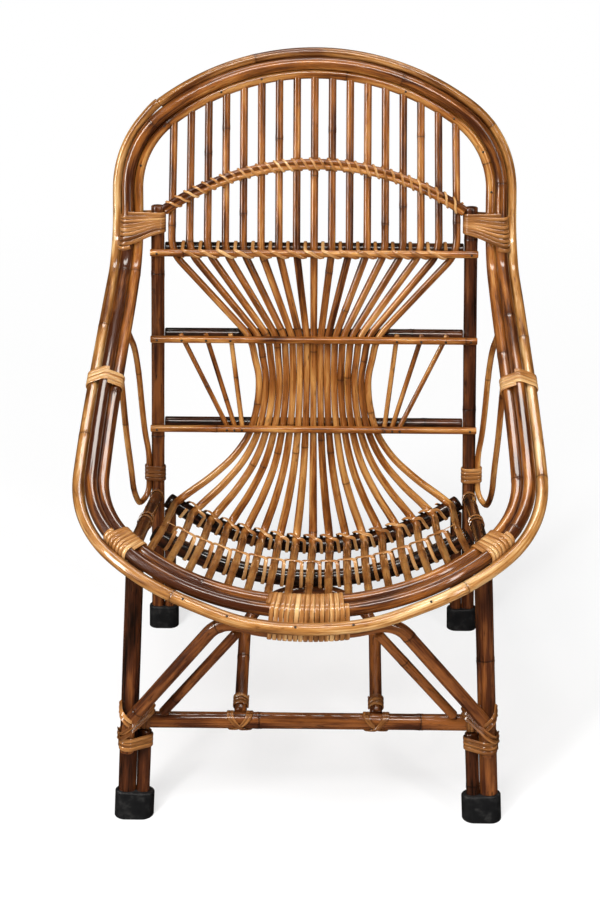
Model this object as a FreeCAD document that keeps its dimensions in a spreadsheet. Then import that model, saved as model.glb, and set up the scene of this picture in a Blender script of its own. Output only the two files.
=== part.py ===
import FreeCAD, Part
import Sketcher
import math
import os

# Bamboo lawn chair: a three-cane rim hoop that runs from the back arch along the arms to the
# seat front, seventeen bent canes for back and seat, cane legs, rails, bindings and rubber feet.
# Millimetres, +Z up, the sitter faces -Y; the origin is on the floor, in the middle of the chair.

Vec = FreeCAD.Vector

SIZES = {
    # clearances
    "fit": 0.3,
    "butt_fit": 0.5,
    "arch_fit": 0.5,
    "bind_fit": 0.4,
    "cane_joint": 0.4,
    # cane diameters
    "rim_outer_dia": 14.0,
    "rim_middle_dia": 18.0,
    "rim_inner_dia": 15.0,
    "post_dia": 20.0,
    "leg_dia": 24.0,
    "doubler_dia": 18.0,
    "brace_dia": 18.0,
    "diagonal_dia": 13.0,
    "stretcher_dia": 22.0,
    "prop_dia": 17.0,
    "side_rail_dia": 18.0,
    "bearer_dia": 18.0,
    "front_rail_dia": 11.0,
    "rear_rail_dia": 18.0,
    "arch_dia": 8.0,
    "spindle_dia": 9.6,
    "fan_stick_dia": 7.5,
    "loop_dia": 9.0,
    "strip_dia": 3.0,
    # rim hoop: side profile
    "rim_top_height": 887.0,
    "back_lean": 12.0,
    "shoulder_height": 617.0,
    "shoulder_bend": 110.0,
    "rim_front_reach": 322.0,
    "rim_front_height": 335.0,
    # rim hoop: outline on the unrolled profile
    "back_half_width": 277.0,
    "arm_half_width": 292.5,
    "crown_rise": 184.0,
    "crown_corner": 139.0,
    "front_bow": 225.0,
    "front_corner": 177.0,
    # rim hoop: bundle of three canes
    "middle_forward": 8.0,
    "front_roll": 19.0,
    "rim_pin_step": 60.0,
    "outer_gap": 4.5,
    "outer_front_gap": 8.0,
    "outer_front_lift": 10.7,
    # rear posts and back rails
    "rear_foot_reach": 245.0,
    "post_foot_half": 249.0,
    "post_above_shoulder": 73.0,
    "post_lean": 4.144,
    "post_splay": 1.328,
    "middle_rail_drop": 134.0,
    "lower_rail_drop": 277.0,
    # curved back arch
    "arch_rise": 130.0,
    "arch_radius": 396.0,
    "arch_half_span": 214.0,
    # spindles: pitch of the canes at each level
    "spindles_each_side": 8,
    "top_pitch": 26.0,
    "upper_pitch": 26.2,
    "waist_gap": 0.85,
    "fan_pitch": 11.9,
    "rear_seat_pitch": 27.2,
    "front_seat_pitch": 26.9,
    "front_end_pitch": 26.1,
    "fan_curve": 1.5,
    "upper_bend": 55.0,
    "waist_bend": 70.0,
    "seat_bend": 22.0,
    # fan sticks between the two lower rails
    "fan_top_first": 126.0,
    "fan_top_step": 37.0,
    "fan_foot_first": 110.0,
    "fan_foot_step": 11.5,
    "fan_overlap": 6.0,
    # seat bearers and side rails
    "rear_bearer_height": 140.0,
    "rear_bearer_radius": 376.0,
    "front_bearer_height": 229.0,
    "front_bearer_radius": 388.0,
    "front_bearer_reach": 20.0,
    "side_rail_rear_height": 225.0,
    "side_rail_front_half": 226.0,
    # front frame
    "front_foot_reach": 277.0,
    "leg_foot_half": 246.0,
    "leg_top_reach": 211.0,
    "stretcher_height": 134.0,
    "brace_end_height": 96.0,
    "brace_turn_height": 138.0,
    "brace_turn_bend": 45.0,
    "brace_top_half": 112.0,
    "brace_top_bend": 60.0,
    "brace_drop": 24.6,
    "brace_ahead": 20.4,
    "diagonal_foot_half": 203.0,
    "diagonal_top_half": 82.0,
    "prop_half_width": 91.0,
    # arm loops
    "loop_upper_run": 105.0,
    "loop_lower_run": 182.0,
    "loop_tie_height": 262.0,
    "loop_tie_angle": 25.0,
    "loop_foot_height": 226.0,
    "loop_foot_ahead": 28.0,
    "loop_foot_out": 14.0,
    "loop_knee_rise": 80.0,
    "loop_knee_ahead": 14.0,
    "loop_knee_out": 20.0,
    # feet
    "cap_height": 36.0,
    "cap_floor": 8.0,
    "cap_wall": 3.6,
    "cap_round": 3.0,
    "cap_below": 12.0,
    # bindings: turns and pitch
    "strip_pitch": 6.2,
    "shoulder_turns": 8,
    "shoulder_bind_drop": 28.0,
    "arm_turns": 4,
    "arm_bind_run": 217.0,
    "corner_turns": 7,
    "corner_bind_half": 232.0,
    "front_turns": 16,
    "leg_turns": 3,
    "leg_bind_height": 99.0,
    "tie_turns": 4,
    "prop_turns": 3,
    "prop_bind_start": 12.0,
    "lashed_each_side": 7,
    # nails
    "nail_dia": 1.8,
    "nail_length": 17.0,
    "nail_head_dia": 4.0,
    "nail_head_thick": 1.2,
}

doc = FreeCAD.newDocument("BambooLawnChair")
sheet = doc.addObject("Spreadsheet::Sheet", "Sizes")
for row, (name, value) in enumerate(SIZES.items(), start=1):
    sheet.set("A%d" % row, name)
    sheet.set("B%d" % row, str(value))
    sheet.setAlias("B%d" % row, name)
doc.recompute()

parts = []


def size(alias):
    """A driving dimension, read from the sheet."""
    return float(sheet.get(alias))


def radius(alias):
    return size(alias) / 2.0


def unit(v):
    return v * (1.0 / v.Length)


def mirrored(v):
    return Vec(-v.x, v.y, v.z)


def mirror_nodes(nodes):
    return [(mirrored(p), mirrored(t)) for p, t in nodes]


def reverse_nodes(nodes):
    return [(p, t * -1.0) for p, t in reversed(nodes)]


# Paths: every bent cane follows nodes (point, direction) joined by pairs of tangent arcs.


def arc_edge(start, direction, end):
    """The circular arc that leaves start in the given direction and meets end."""
    chord = end - start
    along = direction.dot(chord) / chord.Length
    side = direction - chord * (direction.dot(chord) / chord.dot(chord))
    sag = 0.0
    if side.Length > 1e-9:
        sag = chord.Length / 2.0 * side.Length / (1.0 + along)
    if sag < 1e-3:
        return Part.LineSegment(start, end).toShape()
    middle = start + chord * 0.5 + unit(side) * sag
    return Part.Arc(start, middle, end).toShape()


def arc_pair(node, following):
    """Two arcs that join one node to the next with no kink."""
    p0, t0 = node
    p1, t1 = following
    v = p1 - p0
    t = t0 + t1
    spread = 2.0 * (1.0 - t0.dot(t1))
    if spread < 1e-9:
        reach = v.dot(v) / (4.0 * v.dot(t0))
    else:
        vt = v.dot(t)
        reach = (-vt + math.sqrt(vt * vt + spread * v.dot(v))) / spread
    joint = (p0 + t0 * reach + p1 - t1 * reach) * 0.5
    leave = unit(p1 - t1 * reach - p0 - t0 * reach)
    if (joint - p0).cross(t0).Length < 1e-4 and (p1 - joint).cross(t1).Length < 1e-4:
        return [Part.LineSegment(p0, p1).toShape()]
    return [arc_edge(p0, t0, joint), arc_edge(joint, leave, p1)]


def path_wire(nodes):
    edges = []
    for node, following in zip(nodes, nodes[1:]):
        edges += arc_pair(node, following)
    return Part.Wire(edges)


def corner_cut(before, corner, after, bend):
    """How much of both runs a rounded corner takes, at most a little under half of the shorter."""
    turn = (corner - before).getAngle(after - corner)
    room = 0.45 * min((corner - before).Length, (after - corner).Length)
    return min(bend * math.tan(turn / 2.0), room)


def rounded_corner(point, before, after, bend):
    """The corner whose rounded bend passes through the point."""
    corner = point
    for _ in range(12):
        run_in = unit(corner - before)
        run_out = unit(after - corner)
        half_turn = run_in.getAngle(run_out) / 2.0
        reach = corner_cut(before, corner, after, bend) / math.tan(half_turn)
        corner = point - unit(run_out - run_in) * reach * (1.0 / math.cos(half_turn) - 1.0)
    return corner


def route(points):
    """Nodes for a route of (point, bend): a rounded corner of that bend radius, or a smooth pass if 0."""
    nodes = [(points[0][0], unit(points[1][0] - points[0][0]))]
    for (before, _), (p, bend), (after, _) in zip(points, points[1:], points[2:]):
        cut = corner_cut(before, p, after, bend)
        if cut < 1e-3:
            nodes.append((p, unit(after - before)))
            continue
        nodes.append((p - unit(p - before) * cut, unit(p - before)))
        nodes.append((p + unit(after - p) * cut, unit(after - p)))
    nodes.append((points[-1][0], unit(points[-1][0] - points[-2][0])))
    return nodes


# Objects of the document.


def sub_part(obj, label):
    obj.Label = label
    parts.append(obj)
    return obj


def aimed(start, direction):
    return FreeCAD.Placement(start, FreeCAD.Rotation(Vec(0, 0, 1), direction))


def tube(name, nodes, dia):
    """A round cane or strip swept along its nodes, its section bound to the sheet."""
    spine = doc.addObject("Part::Feature", name + "_path")
    spine.Shape = path_wire(nodes)
    section = doc.addObject("Part::Circle", name + "_section")
    section.setExpression("Radius", "Sizes.%s / 2" % dia)
    section.Placement = aimed(nodes[0][0], nodes[0][1])
    sweep = doc.addObject("Part::Sweep", name)
    sweep.Sections = [section]
    sweep.Spine = (spine, [])
    sweep.Solid = True
    sweep.Frenet = False
    return sweep


def bent_cane(label, nodes, dia):
    return sub_part(tube(label, nodes, dia), label)


def rod(name, start, end, dia):
    """A straight round cane between two points."""
    cane = doc.addObject("Part::Cylinder", name)
    cane.setExpression("Radius", "Sizes.%s / 2" % dia)
    cane.Height = (end - start).Length
    cane.Placement = aimed(start, unit(end - start))
    return cane


def straight_cane(label, start, end, dia):
    return sub_part(rod(label, start, end, dia), label)


def group(label, members):
    compound = doc.addObject("Part::Compound", label)
    compound.Links = members
    return sub_part(compound, label)


def drilled_cane(label, start, end, dia, holes):
    """A straight cane with nail holes, each hole given by its mouth and direction."""
    blank = rod(label + "_blank", start, end, dia)
    drills = []
    for k, (mouth, direction) in enumerate(holes):
        drill = doc.addObject("Part::Cylinder", "%s_drill_%d" % (label, k + 1))
        drill.setExpression("Radius", "Sizes.nail_dia / 2 + Sizes.fit")
        drill.setExpression("Height", "Sizes.nail_length + Sizes.fit")
        drill.Placement = aimed(mouth, direction)
        drills.append(drill)
    tool = drills[0]
    if len(drills) > 1:
        tool = doc.addObject("Part::MultiFuse", label + "_drills")
        tool.Shapes = drills
    cut = doc.addObject("Part::Cut", label)
    cut.Base = blank
    cut.Tool = tool
    return sub_part(cut, label)


STRIP_ROOM = size("strip_dia") + size("bind_fit")


def wound_half(turns):
    """Half the length of a binding along its bundle."""
    return size(turns) * size("strip_pitch") / 2.0


def butt_length(own_dia, direction, other_dia, other_direction, skin=0.0):
    """How far before the other cane's axis, with a skin on it, a square-cut cane end has to stop."""
    cosine = abs(direction.dot(other_direction))
    sine = math.sqrt(1.0 - cosine * cosine)
    return (radius(other_dia) + skin + size("butt_fit") + radius(own_dia) * cosine) / sine


def at_height(start, end, height):
    return start + (end - start) * ((height - start.z) / (end.z - start.z))


# Rear posts and the plane of the back canes.


def post_point(height):
    back = height * math.tan(math.radians(size("post_lean")))
    inward = height * math.tan(math.radians(size("post_splay")))
    return Vec(size("post_foot_half") - inward, size("rear_foot_reach") + back, height)


def front_rail_depth(height):
    """Depth of a front rail's axis, nailed on the posts' fronts."""
    return post_point(height).y - radius("post_dia") - radius("front_rail_dia") - size("fit")


def leaning(clearance):
    """A clearance in depth that leaves the same room beside a leaning spindle."""
    return clearance / math.cos(math.radians(size("back_lean")))


def back_plane(height):
    """Depth of the spindle axes where they pass behind the front rails."""
    room = radius("front_rail_dia") + radius("spindle_dia") + size("fit")
    return front_rail_depth(height) + leaning(room)


def rear_rail_depth(height):
    room = radius("rear_rail_dia") + radius("spindle_dia") + size("fit")
    return back_plane(height) + leaning(room)


# Rim hoop: an outline of arcs on a side profile of back line, shoulder bend and arm line.


def side_profile():
    lean = math.tan(math.radians(size("back_lean")))
    foot = size("shoulder_height")
    base = back_plane(foot)

    def back_line(height):
        return Vec(0, base + (height - foot) * lean, height)

    top = back_line(size("rim_top_height"))
    corner = back_line(size("shoulder_height"))
    front = Vec(0, -size("rim_front_reach"), size("rim_front_height"))
    down = unit(corner - top)
    ahead = unit(front - corner)
    turn = down.getAngle(ahead)
    bend = size("shoulder_bend")
    cut = bend * math.tan(turn / 2.0)
    inward = unit(ahead - down * ahead.dot(down))
    return {
        "top": top,
        "down": down,
        "ahead": ahead,
        "inward": inward,
        "corner": corner,
        "cut": cut,
        "bend": bend,
        "back": (corner - top).Length - cut,
        "arc": bend * turn,
        "arm": (front - corner).Length - cut,
    }


PROFILE = side_profile()
PROFILE_LENGTH = PROFILE["back"] + PROFILE["arc"] + PROFILE["arm"]


def profile_at(length):
    """Point and downward direction of the side profile at a length from its top."""
    p = PROFILE
    if length <= p["back"]:
        return p["top"] + p["down"] * length, p["down"]
    if length <= p["back"] + p["arc"]:
        turn = (length - p["back"]) / p["bend"]
        start = p["top"] + p["down"] * p["back"]
        step = p["down"] * math.sin(turn) + p["inward"] * (1.0 - math.cos(turn))
        return start + step * p["bend"], p["down"] * math.cos(turn) + p["inward"] * math.sin(turn)
    rest = length - p["back"] - p["arc"]
    return p["corner"] + p["ahead"] * (p["cut"] + rest), p["ahead"]


def crown(half, rise, corner):
    """A three-centred arch: radius and opening angle of its middle arc."""
    wide = ((half - corner) ** 2 + rise * rise - corner * corner) / (2.0 * (rise - corner))
    return wide, math.atan2(half - corner, wide - rise)


def outline_pieces():
    top_wide, top_angle = crown(size("back_half_width"), size("crown_rise"), size("crown_corner"))
    low_wide, low_angle = crown(size("arm_half_width"), size("front_bow"), size("front_corner"))
    side = PROFILE_LENGTH - size("crown_rise") - size("front_bow")
    return [
        ("top", top_wide * top_angle),
        ("top_corner", size("crown_corner") * (math.pi / 2.0 - top_angle)),
        ("side", side),
        ("low_corner", size("front_corner") * (math.pi / 2.0 - low_angle)),
        ("low", low_wide * low_angle),
    ]


PIECES = outline_pieces()
HALF_LENGTH = sum(length for name, length in PIECES)


def arch_point(half, rise, corner, length):
    """Place and direction on a half arch, from its crown, as (across, down)."""
    wide, angle = crown(half, rise, corner)
    if length <= wide * angle:
        turn = length / wide
        return wide * math.sin(turn), wide * (1.0 - math.cos(turn)), turn
    turn = angle + (length - wide * angle) / corner
    across = (wide - corner) * math.sin(angle) + corner * math.sin(turn)
    return across, wide - (wide - corner) * math.cos(angle) - corner * math.cos(turn), turn


def outline_at(length):
    """Half width, length down the profile and their rates at a length along the half outline."""
    top = PIECES[0][1] + PIECES[1][1]
    side = PIECES[2][1]
    if length <= top:
        across, down, turn = arch_point(
            size("back_half_width"), size("crown_rise"), size("crown_corner"), length
        )
        return across, down, math.cos(turn), math.sin(turn)
    if length <= top + side:
        share = (length - top) / side
        flare = size("arm_half_width") - size("back_half_width")
        across = size("back_half_width") + flare * share * share * (3.0 - 2.0 * share)
        return across, size("crown_rise") + side * share, 6.0 * flare * share * (1.0 - share) / side, 1.0
    across, down, turn = arch_point(
        size("arm_half_width"), size("front_bow"), size("front_corner"), HALF_LENGTH - length
    )
    return across, PROFILE_LENGTH - down, -math.cos(turn), math.sin(turn)


def front_share(down):
    """How far a place has come round the front bow: 0 on the arms, 1 in the middle of the front."""
    return max(0.0, (down - PROFILE_LENGTH + size("front_bow")) / size("front_bow"))


def rim_frame(length):
    """Point, direction, facing and outward of the right half of the hoop, from the top."""
    across, down, across_rate, down_rate = outline_at(length)
    place, fall = profile_at(down)
    direction = unit(Vec(across_rate, fall.y * down_rate, fall.z * down_rate))
    facing = Vec(0, fall.z, -fall.y)
    outward = facing.cross(direction)
    roll = math.radians(size("front_roll")) * front_share(down)
    turned_out = outward * math.cos(roll) - facing * math.sin(roll)
    turned_face = facing * math.cos(roll) + outward * math.sin(roll)
    return Vec(across, place.y, place.z), direction, turned_face, turned_out


INNER_SHIFT = math.sqrt(
    (radius("rim_middle_dia") + radius("rim_inner_dia") + size("fit")) ** 2 - size("middle_forward") ** 2
)
OUTER_SHIFT = math.sqrt(
    (radius("rim_middle_dia") + radius("rim_outer_dia") + size("outer_gap")) ** 2
    - size("middle_forward") ** 2
)
OUTER_FRONT_SHIFT = math.sqrt(
    (radius("rim_middle_dia") + radius("rim_outer_dia") + size("outer_front_gap")) ** 2
    - (size("outer_front_lift") - size("middle_forward")) ** 2
)
# Places in the bundle, as (facing, outward) on the arms and, where it differs, at the front.
RIM_MIDDLE = (size("middle_forward"), 0.0)
RIM_INNER = (0.0, -INNER_SHIFT)
RIM_OUTER = (0.0, OUTER_SHIFT, size("outer_front_lift"), OUTER_FRONT_SHIFT)


def rim_point(length, offset):
    place, direction, facing, outward = rim_frame(length)
    share = front_share(outline_at(length)[1])
    ease = share * share * (3.0 - 2.0 * share)
    face, out = offset[:2]
    if len(offset) == 4:
        face += (offset[2] - face) * ease
        out += (offset[3] - out) * ease
    return place + facing * face + outward * out


def rim_node(length, offset):
    step = 0.5
    low = max(0.0, length - step)
    high = min(HALF_LENGTH, length + step)
    rate = rim_point(high, offset) - rim_point(low, offset)
    if low == 0.0 or high == HALF_LENGTH:
        rate = Vec(rate.x, 0, 0)
    return rim_point(length, offset), unit(rate)


def bisect(low, high, test):
    """The place between low and high where test turns from true to false."""
    for _ in range(50):
        middle = (low + high) / 2.0
        if test(middle):
            low = middle
        else:
            high = middle
    return (low + high) / 2.0


def length_at_drop(drop):
    """Length along the half outline at a length down the side profile."""
    return bisect(0.0, HALF_LENGTH, lambda s: outline_at(s)[1] < drop)


TOP_END = PIECES[0][1]
SIDE_START = TOP_END + PIECES[1][1]
SIDE_END = SIDE_START + PIECES[2][1]
LOW_START = SIDE_END + PIECES[3][1]
BEND_START = length_at_drop(PROFILE["back"])
BEND_END = length_at_drop(PROFILE["back"] + PROFILE["arc"])


def rim_stations():
    """Lengths along the half outline at which the rim canes are pinned: where its curves change and between."""
    changes = sorted([0.0, TOP_END, SIDE_START, BEND_START, BEND_END, SIDE_END, LOW_START, HALF_LENGTH])
    stations = [0.0]
    for start, end in zip(changes, changes[1:]):
        pieces = math.ceil((end - start) / size("rim_pin_step"))
        stations += [start + (end - start) * (k + 1) / pieces for k in range(pieces)]
    return stations


STATIONS = rim_stations()


def rim_half(offset):
    return [rim_node(length, offset) for length in STATIONS]


def rim_hoop_nodes(offset, joint_station=None):
    """Nodes once round the hoop; the two cane ends meet at the front, or at a station on the left."""
    right = rim_half(offset)
    left = reverse_nodes(mirror_nodes(right))
    if joint_station is None:
        loop = left[:-1] + right
    else:
        cut = len(STATIONS) - 1 - joint_station
        loop = left[cut:-1] + right + left[1:cut + 1]
    gap = size("cane_joint") / 2.0
    loop[0] = (loop[0][0] + loop[0][1] * gap, loop[0][1])
    loop[-1] = (loop[-1][0] - loop[-1][1] * gap, loop[-1][1])
    return loop


def rim_length_at_half(half, offset, front):
    if front:
        return bisect(SIDE_END, HALF_LENGTH, lambda s: rim_point(s, offset).x > half)
    return bisect(0.0, SIDE_START, lambda s: rim_point(s, offset).x < half)


def make_rim():
    bent_cane("rim_middle_cane", rim_hoop_nodes(RIM_MIDDLE), "rim_middle_dia")
    bent_cane("rim_inner_cane", rim_hoop_nodes(RIM_INNER), "rim_inner_dia")
    joint = STATIONS.index(TOP_END)
    bent_cane("rim_outer_cane", rim_hoop_nodes(RIM_OUTER, joint), "rim_outer_dia")


# Front frame.


def side_rail_axis():
    """Ends of the right seat side rail: square on the post's front, square on the inner rim cane."""
    post = post_point(size("side_rail_rear_height"))
    post_way = unit(post_point(1.0) - post_point(0.0))
    station = rim_length_at_half(size("side_rail_front_half"), RIM_INNER, True)
    target, way = rim_node(station, RIM_INNER)
    run = unit(target - post)
    rear = post + run * butt_length("side_rail_dia", run, "post_dia", post_way)
    front = target - run * butt_length("side_rail_dia", run, "rim_inner_dia", way, STRIP_ROOM)
    return rear, front


SIDE_REAR, SIDE_FRONT = side_rail_axis()
SIDE_WAY = unit(SIDE_FRONT - SIDE_REAR)


def side_rail_at(depth):
    return SIDE_REAR + (SIDE_FRONT - SIDE_REAR) * ((depth - SIDE_REAR.y) / (SIDE_FRONT.y - SIDE_REAR.y))


def foot_start(foot, way):
    """Where a pole's axis ends above the floor of its rubber cap."""
    return foot + way * ((size("cap_floor") + size("fit") - foot.z) / way.z)


def leg_axis():
    foot = Vec(size("leg_foot_half"), -size("front_foot_reach"), 0)
    target = side_rail_at(-size("leg_top_reach"))
    way = unit(target - foot)
    end = target - way * butt_length("leg_dia", way, "side_rail_dia", SIDE_WAY)
    return foot_start(foot, way), end


LEG_FOOT, LEG_TOP = leg_axis()
LEG_WAY = unit(LEG_TOP - LEG_FOOT)
LEG_PAIR = radius("leg_dia") + radius("doubler_dia") + size("fit")
POST_WAY = unit(post_point(1.0) - post_point(0.0))
POST_FOOT = foot_start(post_point(0.0), POST_WAY)
POST_TOP = post_point(size("shoulder_height") + size("post_above_shoulder"))
POST_PAIR = radius("post_dia") + radius("doubler_dia") + size("fit")


def inward_step(way, pair):
    """The step from a pole to its doubler: square to the pole, towards the middle."""
    return unit(Vec(-1, 0, 0) + way * way.x) * pair


def stretcher_centre():
    return at_height(LEG_FOOT, LEG_TOP, size("stretcher_height"))


def brace_offset():
    """Place of the arch brace under the rim, as (facing, outward) of the hoop."""
    return RIM_MIDDLE[0] - size("brace_drop"), size("brace_ahead")


def brace_nodes():
    """The arch brace: up the fronts of both legs, inwards, and along the rim's underside."""
    ahead = unit(Vec(0, -1, 0) - LEG_WAY * (Vec(0, -1, 0).dot(LEG_WAY)))
    step = ahead * (radius("leg_dia") + radius("brace_dia") + size("fit"))
    end = at_height(LEG_FOOT, LEG_TOP, size("brace_end_height")) + step
    turn = at_height(LEG_FOOT, LEG_TOP, size("brace_turn_height")) + step
    station = rim_length_at_half(size("brace_top_half"), brace_offset(), True)
    top, way = rim_node(station, brace_offset())
    flat = rim_node((station + HALF_LENGTH) / 2.0, brace_offset())
    crown_node = rim_node(HALF_LENGTH, brace_offset())
    rising = route([(end, 0.0), (turn, size("brace_turn_bend")), (top, size("brace_top_bend")), (flat[0], 0.0)])
    right = rising[:-1] + [flat, crown_node]
    left = reverse_nodes(mirror_nodes(right))
    return right + left[1:]


def make_front_frame():
    for side, place in (("right", lambda v: v), ("left", mirrored)):
        straight_cane("front_leg_" + side, place(LEG_FOOT), place(LEG_TOP), "leg_dia")
        step = inward_step(LEG_WAY, LEG_PAIR)
        seat = radius("stretcher_dia") + size("fit") + radius("doubler_dia") * abs(LEG_WAY.y)
        top = at_height(LEG_FOOT, LEG_TOP, size("stretcher_height") - seat)
        straight_cane(
            "front_doubler_" + side, place(LEG_FOOT + step), place(top + step), "doubler_dia"
        )
    centre = stretcher_centre()
    half = centre.x - butt_length("stretcher_dia", Vec(1, 0, 0), "leg_dia", LEG_WAY)
    straight_cane(
        "front_stretcher", Vec(-half, centre.y, centre.z), Vec(half, centre.y, centre.z), "stretcher_dia"
    )
    bent_cane("front_arch_brace", brace_nodes(), "brace_dia")
    make_diagonals(centre)
    make_seat_prop(centre)


def make_diagonals(centre):
    station = rim_length_at_half(size("diagonal_top_half"), brace_offset(), True)
    target, way = rim_node(station, brace_offset())
    seat = Vec(size("diagonal_foot_half"), centre.y, centre.z)
    run = unit(target - seat)
    foot = seat + run * butt_length("diagonal_dia", run, "stretcher_dia", Vec(1, 0, 0))
    top = target - run * butt_length("diagonal_dia", run, "brace_dia", way)
    straight_cane("diagonal_brace_right", foot, top, "diagonal_dia")
    straight_cane("diagonal_brace_left", mirrored(foot), mirrored(top), "diagonal_dia")


def prop_axis():
    """Foot, shoulder and crown of the seat prop, a hoop from the stretcher to the front bearer."""
    centre = stretcher_centre()
    half = size("prop_half_width")
    drop = radius("bearer_dia") + STRIP_ROOM + size("fit") + radius("prop_dia")
    top = Vec(0, -size("front_bearer_reach"), size("front_bearer_height") - drop)
    foot = Vec(0, centre.y, centre.z)
    way = unit(top - foot)
    bend_start = top - way * half
    start = foot + way * butt_length("prop_dia", way, "stretcher_dia", Vec(1, 0, 0))
    return start, bend_start, top, way, Vec(half, 0, 0)


def prop_nodes():
    start, bend_start, top, way, half = prop_axis()
    return [
        (start + half, way),
        (bend_start + half, way),
        (top, Vec(-1, 0, 0)),
        (bend_start - half, way * -1.0),
        (start - half, way * -1.0),
    ]


def make_seat_prop(centre):
    bent_cane("seat_prop_hoop", prop_nodes(), "prop_dia")


# Seat bearers, side rails, rear posts.


def bearer_point(across, low, bend, depth):
    return Vec(across, depth, low + bend - math.sqrt(bend * bend - across * across))


def bearer_way(across, bend):
    return Vec(math.sqrt(bend * bend - across * across), 0, across) * (1.0 / bend)


def rear_bearer(across):
    depth = post_point(size("side_rail_rear_height")).y
    return bearer_point(across, size("rear_bearer_height"), size("rear_bearer_radius"), depth)


def front_bearer(across):
    return bearer_point(
        across, size("front_bearer_height"), size("front_bearer_radius"), -size("front_bearer_reach")
    )


def bearer_nodes(point, bend, end):
    """A sagging bearer between plus and minus end, as nodes of one circle."""
    way = bearer_way(end, bend)
    return [
        (point(-end), Vec(way.x, 0, -way.z)),
        (point(0.0), Vec(1, 0, 0)),
        (point(end), way),
    ]


def rear_bearer_end():
    end = size("post_foot_half")
    for _ in range(20):
        way = bearer_way(end, size("rear_bearer_radius"))
        axis = post_point(rear_bearer(end).z)
        end = axis.x - butt_length("bearer_dia", way, "post_dia", POST_WAY) * way.x
    return end


def front_bearer_end():
    way = bearer_way(size("side_rail_front_half"), size("front_bearer_radius"))
    axis = side_rail_at(-size("front_bearer_reach"))
    return axis.x - butt_length("bearer_dia", way, "side_rail_dia", SIDE_WAY)


def make_seat_frame():
    rear_end = rear_bearer_end()
    bent_cane(
        "seat_bearer_rear", bearer_nodes(rear_bearer, size("rear_bearer_radius"), rear_end), "bearer_dia"
    )
    bent_cane(
        "seat_bearer_front",
        bearer_nodes(front_bearer, size("front_bearer_radius"), front_bearer_end()),
        "bearer_dia",
    )
    step = inward_step(POST_WAY, POST_PAIR)
    seat = rear_bearer(post_point(size("rear_bearer_height")).x - POST_PAIR)
    way = bearer_way(seat.x, size("rear_bearer_radius"))
    reach = butt_length("doubler_dia", POST_WAY, "bearer_dia", way)
    doubler_top = at_height(POST_FOOT + step, POST_TOP + step, seat.z - reach - size("fit"))
    for side, place in (("right", lambda v: v), ("left", mirrored)):
        straight_cane("seat_side_rail_" + side, place(SIDE_REAR), place(SIDE_FRONT), "side_rail_dia")
        straight_cane("rear_doubler_" + side, place(POST_FOOT + step), place(doubler_top), "doubler_dia")


# Back rails, nailed to the posts and to the fan sticks.

RAILS = ("upper", "middle", "lower")
AHEAD = Vec(0, -1, 0)
NAIL_WAY = Vec(0, 1, 0)


def rail_height(name):
    """Height of a back rail: the upper one is level with the shoulder of the hoop."""
    if name == "upper":
        return size("shoulder_height")
    return size("shoulder_height") - size(name + "_rail_drop")


def fan_stick(k):
    """Upper and lower end of the right fan stick k, behind the two lower front rails."""
    high = rail_height("middle")
    low = rail_height("lower")
    back = radius("front_rail_dia") + radius("fan_stick_dia") + size("fit")
    top = Vec(size("fan_top_first") + k * size("fan_top_step"), front_rail_depth(high) + back, high)
    foot = Vec(size("fan_foot_first") + k * size("fan_foot_step"), front_rail_depth(low) + back, low)
    return top, foot


def nail_seats(name):
    """Right-hand nail places on a front rail: at the post and at each fan stick."""
    height = rail_height(name)
    across = [post_point(height).x]
    if name != "upper":
        across += [fan_stick(k)[name == "lower"].x for k in range(3)]
    depth = front_rail_depth(height) - radius("front_rail_dia")
    return [Vec(x, depth, height) for x in across]


def both_sides(points):
    return points + [mirrored(p) for p in points]


def make_back_rails():
    for name in RAILS:
        height = rail_height(name)
        post = post_point(height)
        half = post.x + radius("post_dia")
        front = front_rail_depth(height)
        holes = [(p, NAIL_WAY) for p in both_sides(nail_seats(name))]
        drilled_cane(
            "back_rail_%s_front" % name,
            Vec(-half, front, height),
            Vec(half, front, height),
            "front_rail_dia",
            holes,
        )
        rear = rear_rail_depth(height)
        inner = post.x - radius("post_dia") - size("fit")
        straight_cane(
            "back_rail_%s_rear" % name, Vec(-inner, rear, height), Vec(inner, rear, height), "rear_rail_dia"
        )


def make_posts():
    seats = [nail_seats(name)[0] for name in RAILS]
    for side, place in (("right", lambda v: v), ("left", mirrored)):
        holes = [(place(p), NAIL_WAY) for p in seats]
        drilled_cane("rear_post_" + side, place(POST_FOOT), place(POST_TOP), "post_dia", holes)


def make_fan_sticks():
    sticks = []
    for side, place in (("right", lambda v: v), ("left", mirrored)):
        for k in range(3):
            top, foot = fan_stick(k)
            way = unit(top - foot)
            name = "fan_stick_%s_%d" % (side, k + 1)
            holes = [(place(nail_seats("middle")[k + 1]), NAIL_WAY), (place(nail_seats("lower")[k + 1]), NAIL_WAY)]
            start = foot - way * size("fan_overlap")
            end = top + way * size("fan_overlap")
            stick = drilled_cane(name, place(start), place(end), "fan_stick_dia", holes)
            parts.remove(stick)
            sticks.append(stick)
    group("fan_sticks", sticks)


def nail_shape(seat):
    """A nail with a flat head, its head resting on the rail at the seat."""
    shank = Part.makeCylinder(size("nail_dia") / 2.0, size("nail_length"), seat, NAIL_WAY)
    top = seat + AHEAD * size("nail_head_thick")
    head = Part.makeCylinder(size("nail_head_dia") / 2.0, size("nail_head_thick"), top, NAIL_WAY)
    return head.fuse(shank)


def make_nails():
    nails = doc.addObject("Part::Feature", "rail_nails")
    seats = []
    for name in RAILS:
        seats += both_sides(nail_seats(name))
    nails.Shape = Part.makeCompound([nail_shape(p) for p in seats])
    sub_part(nails, "rail_nails")


# Curved back arch: two canes that hold the spindles between them.


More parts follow.
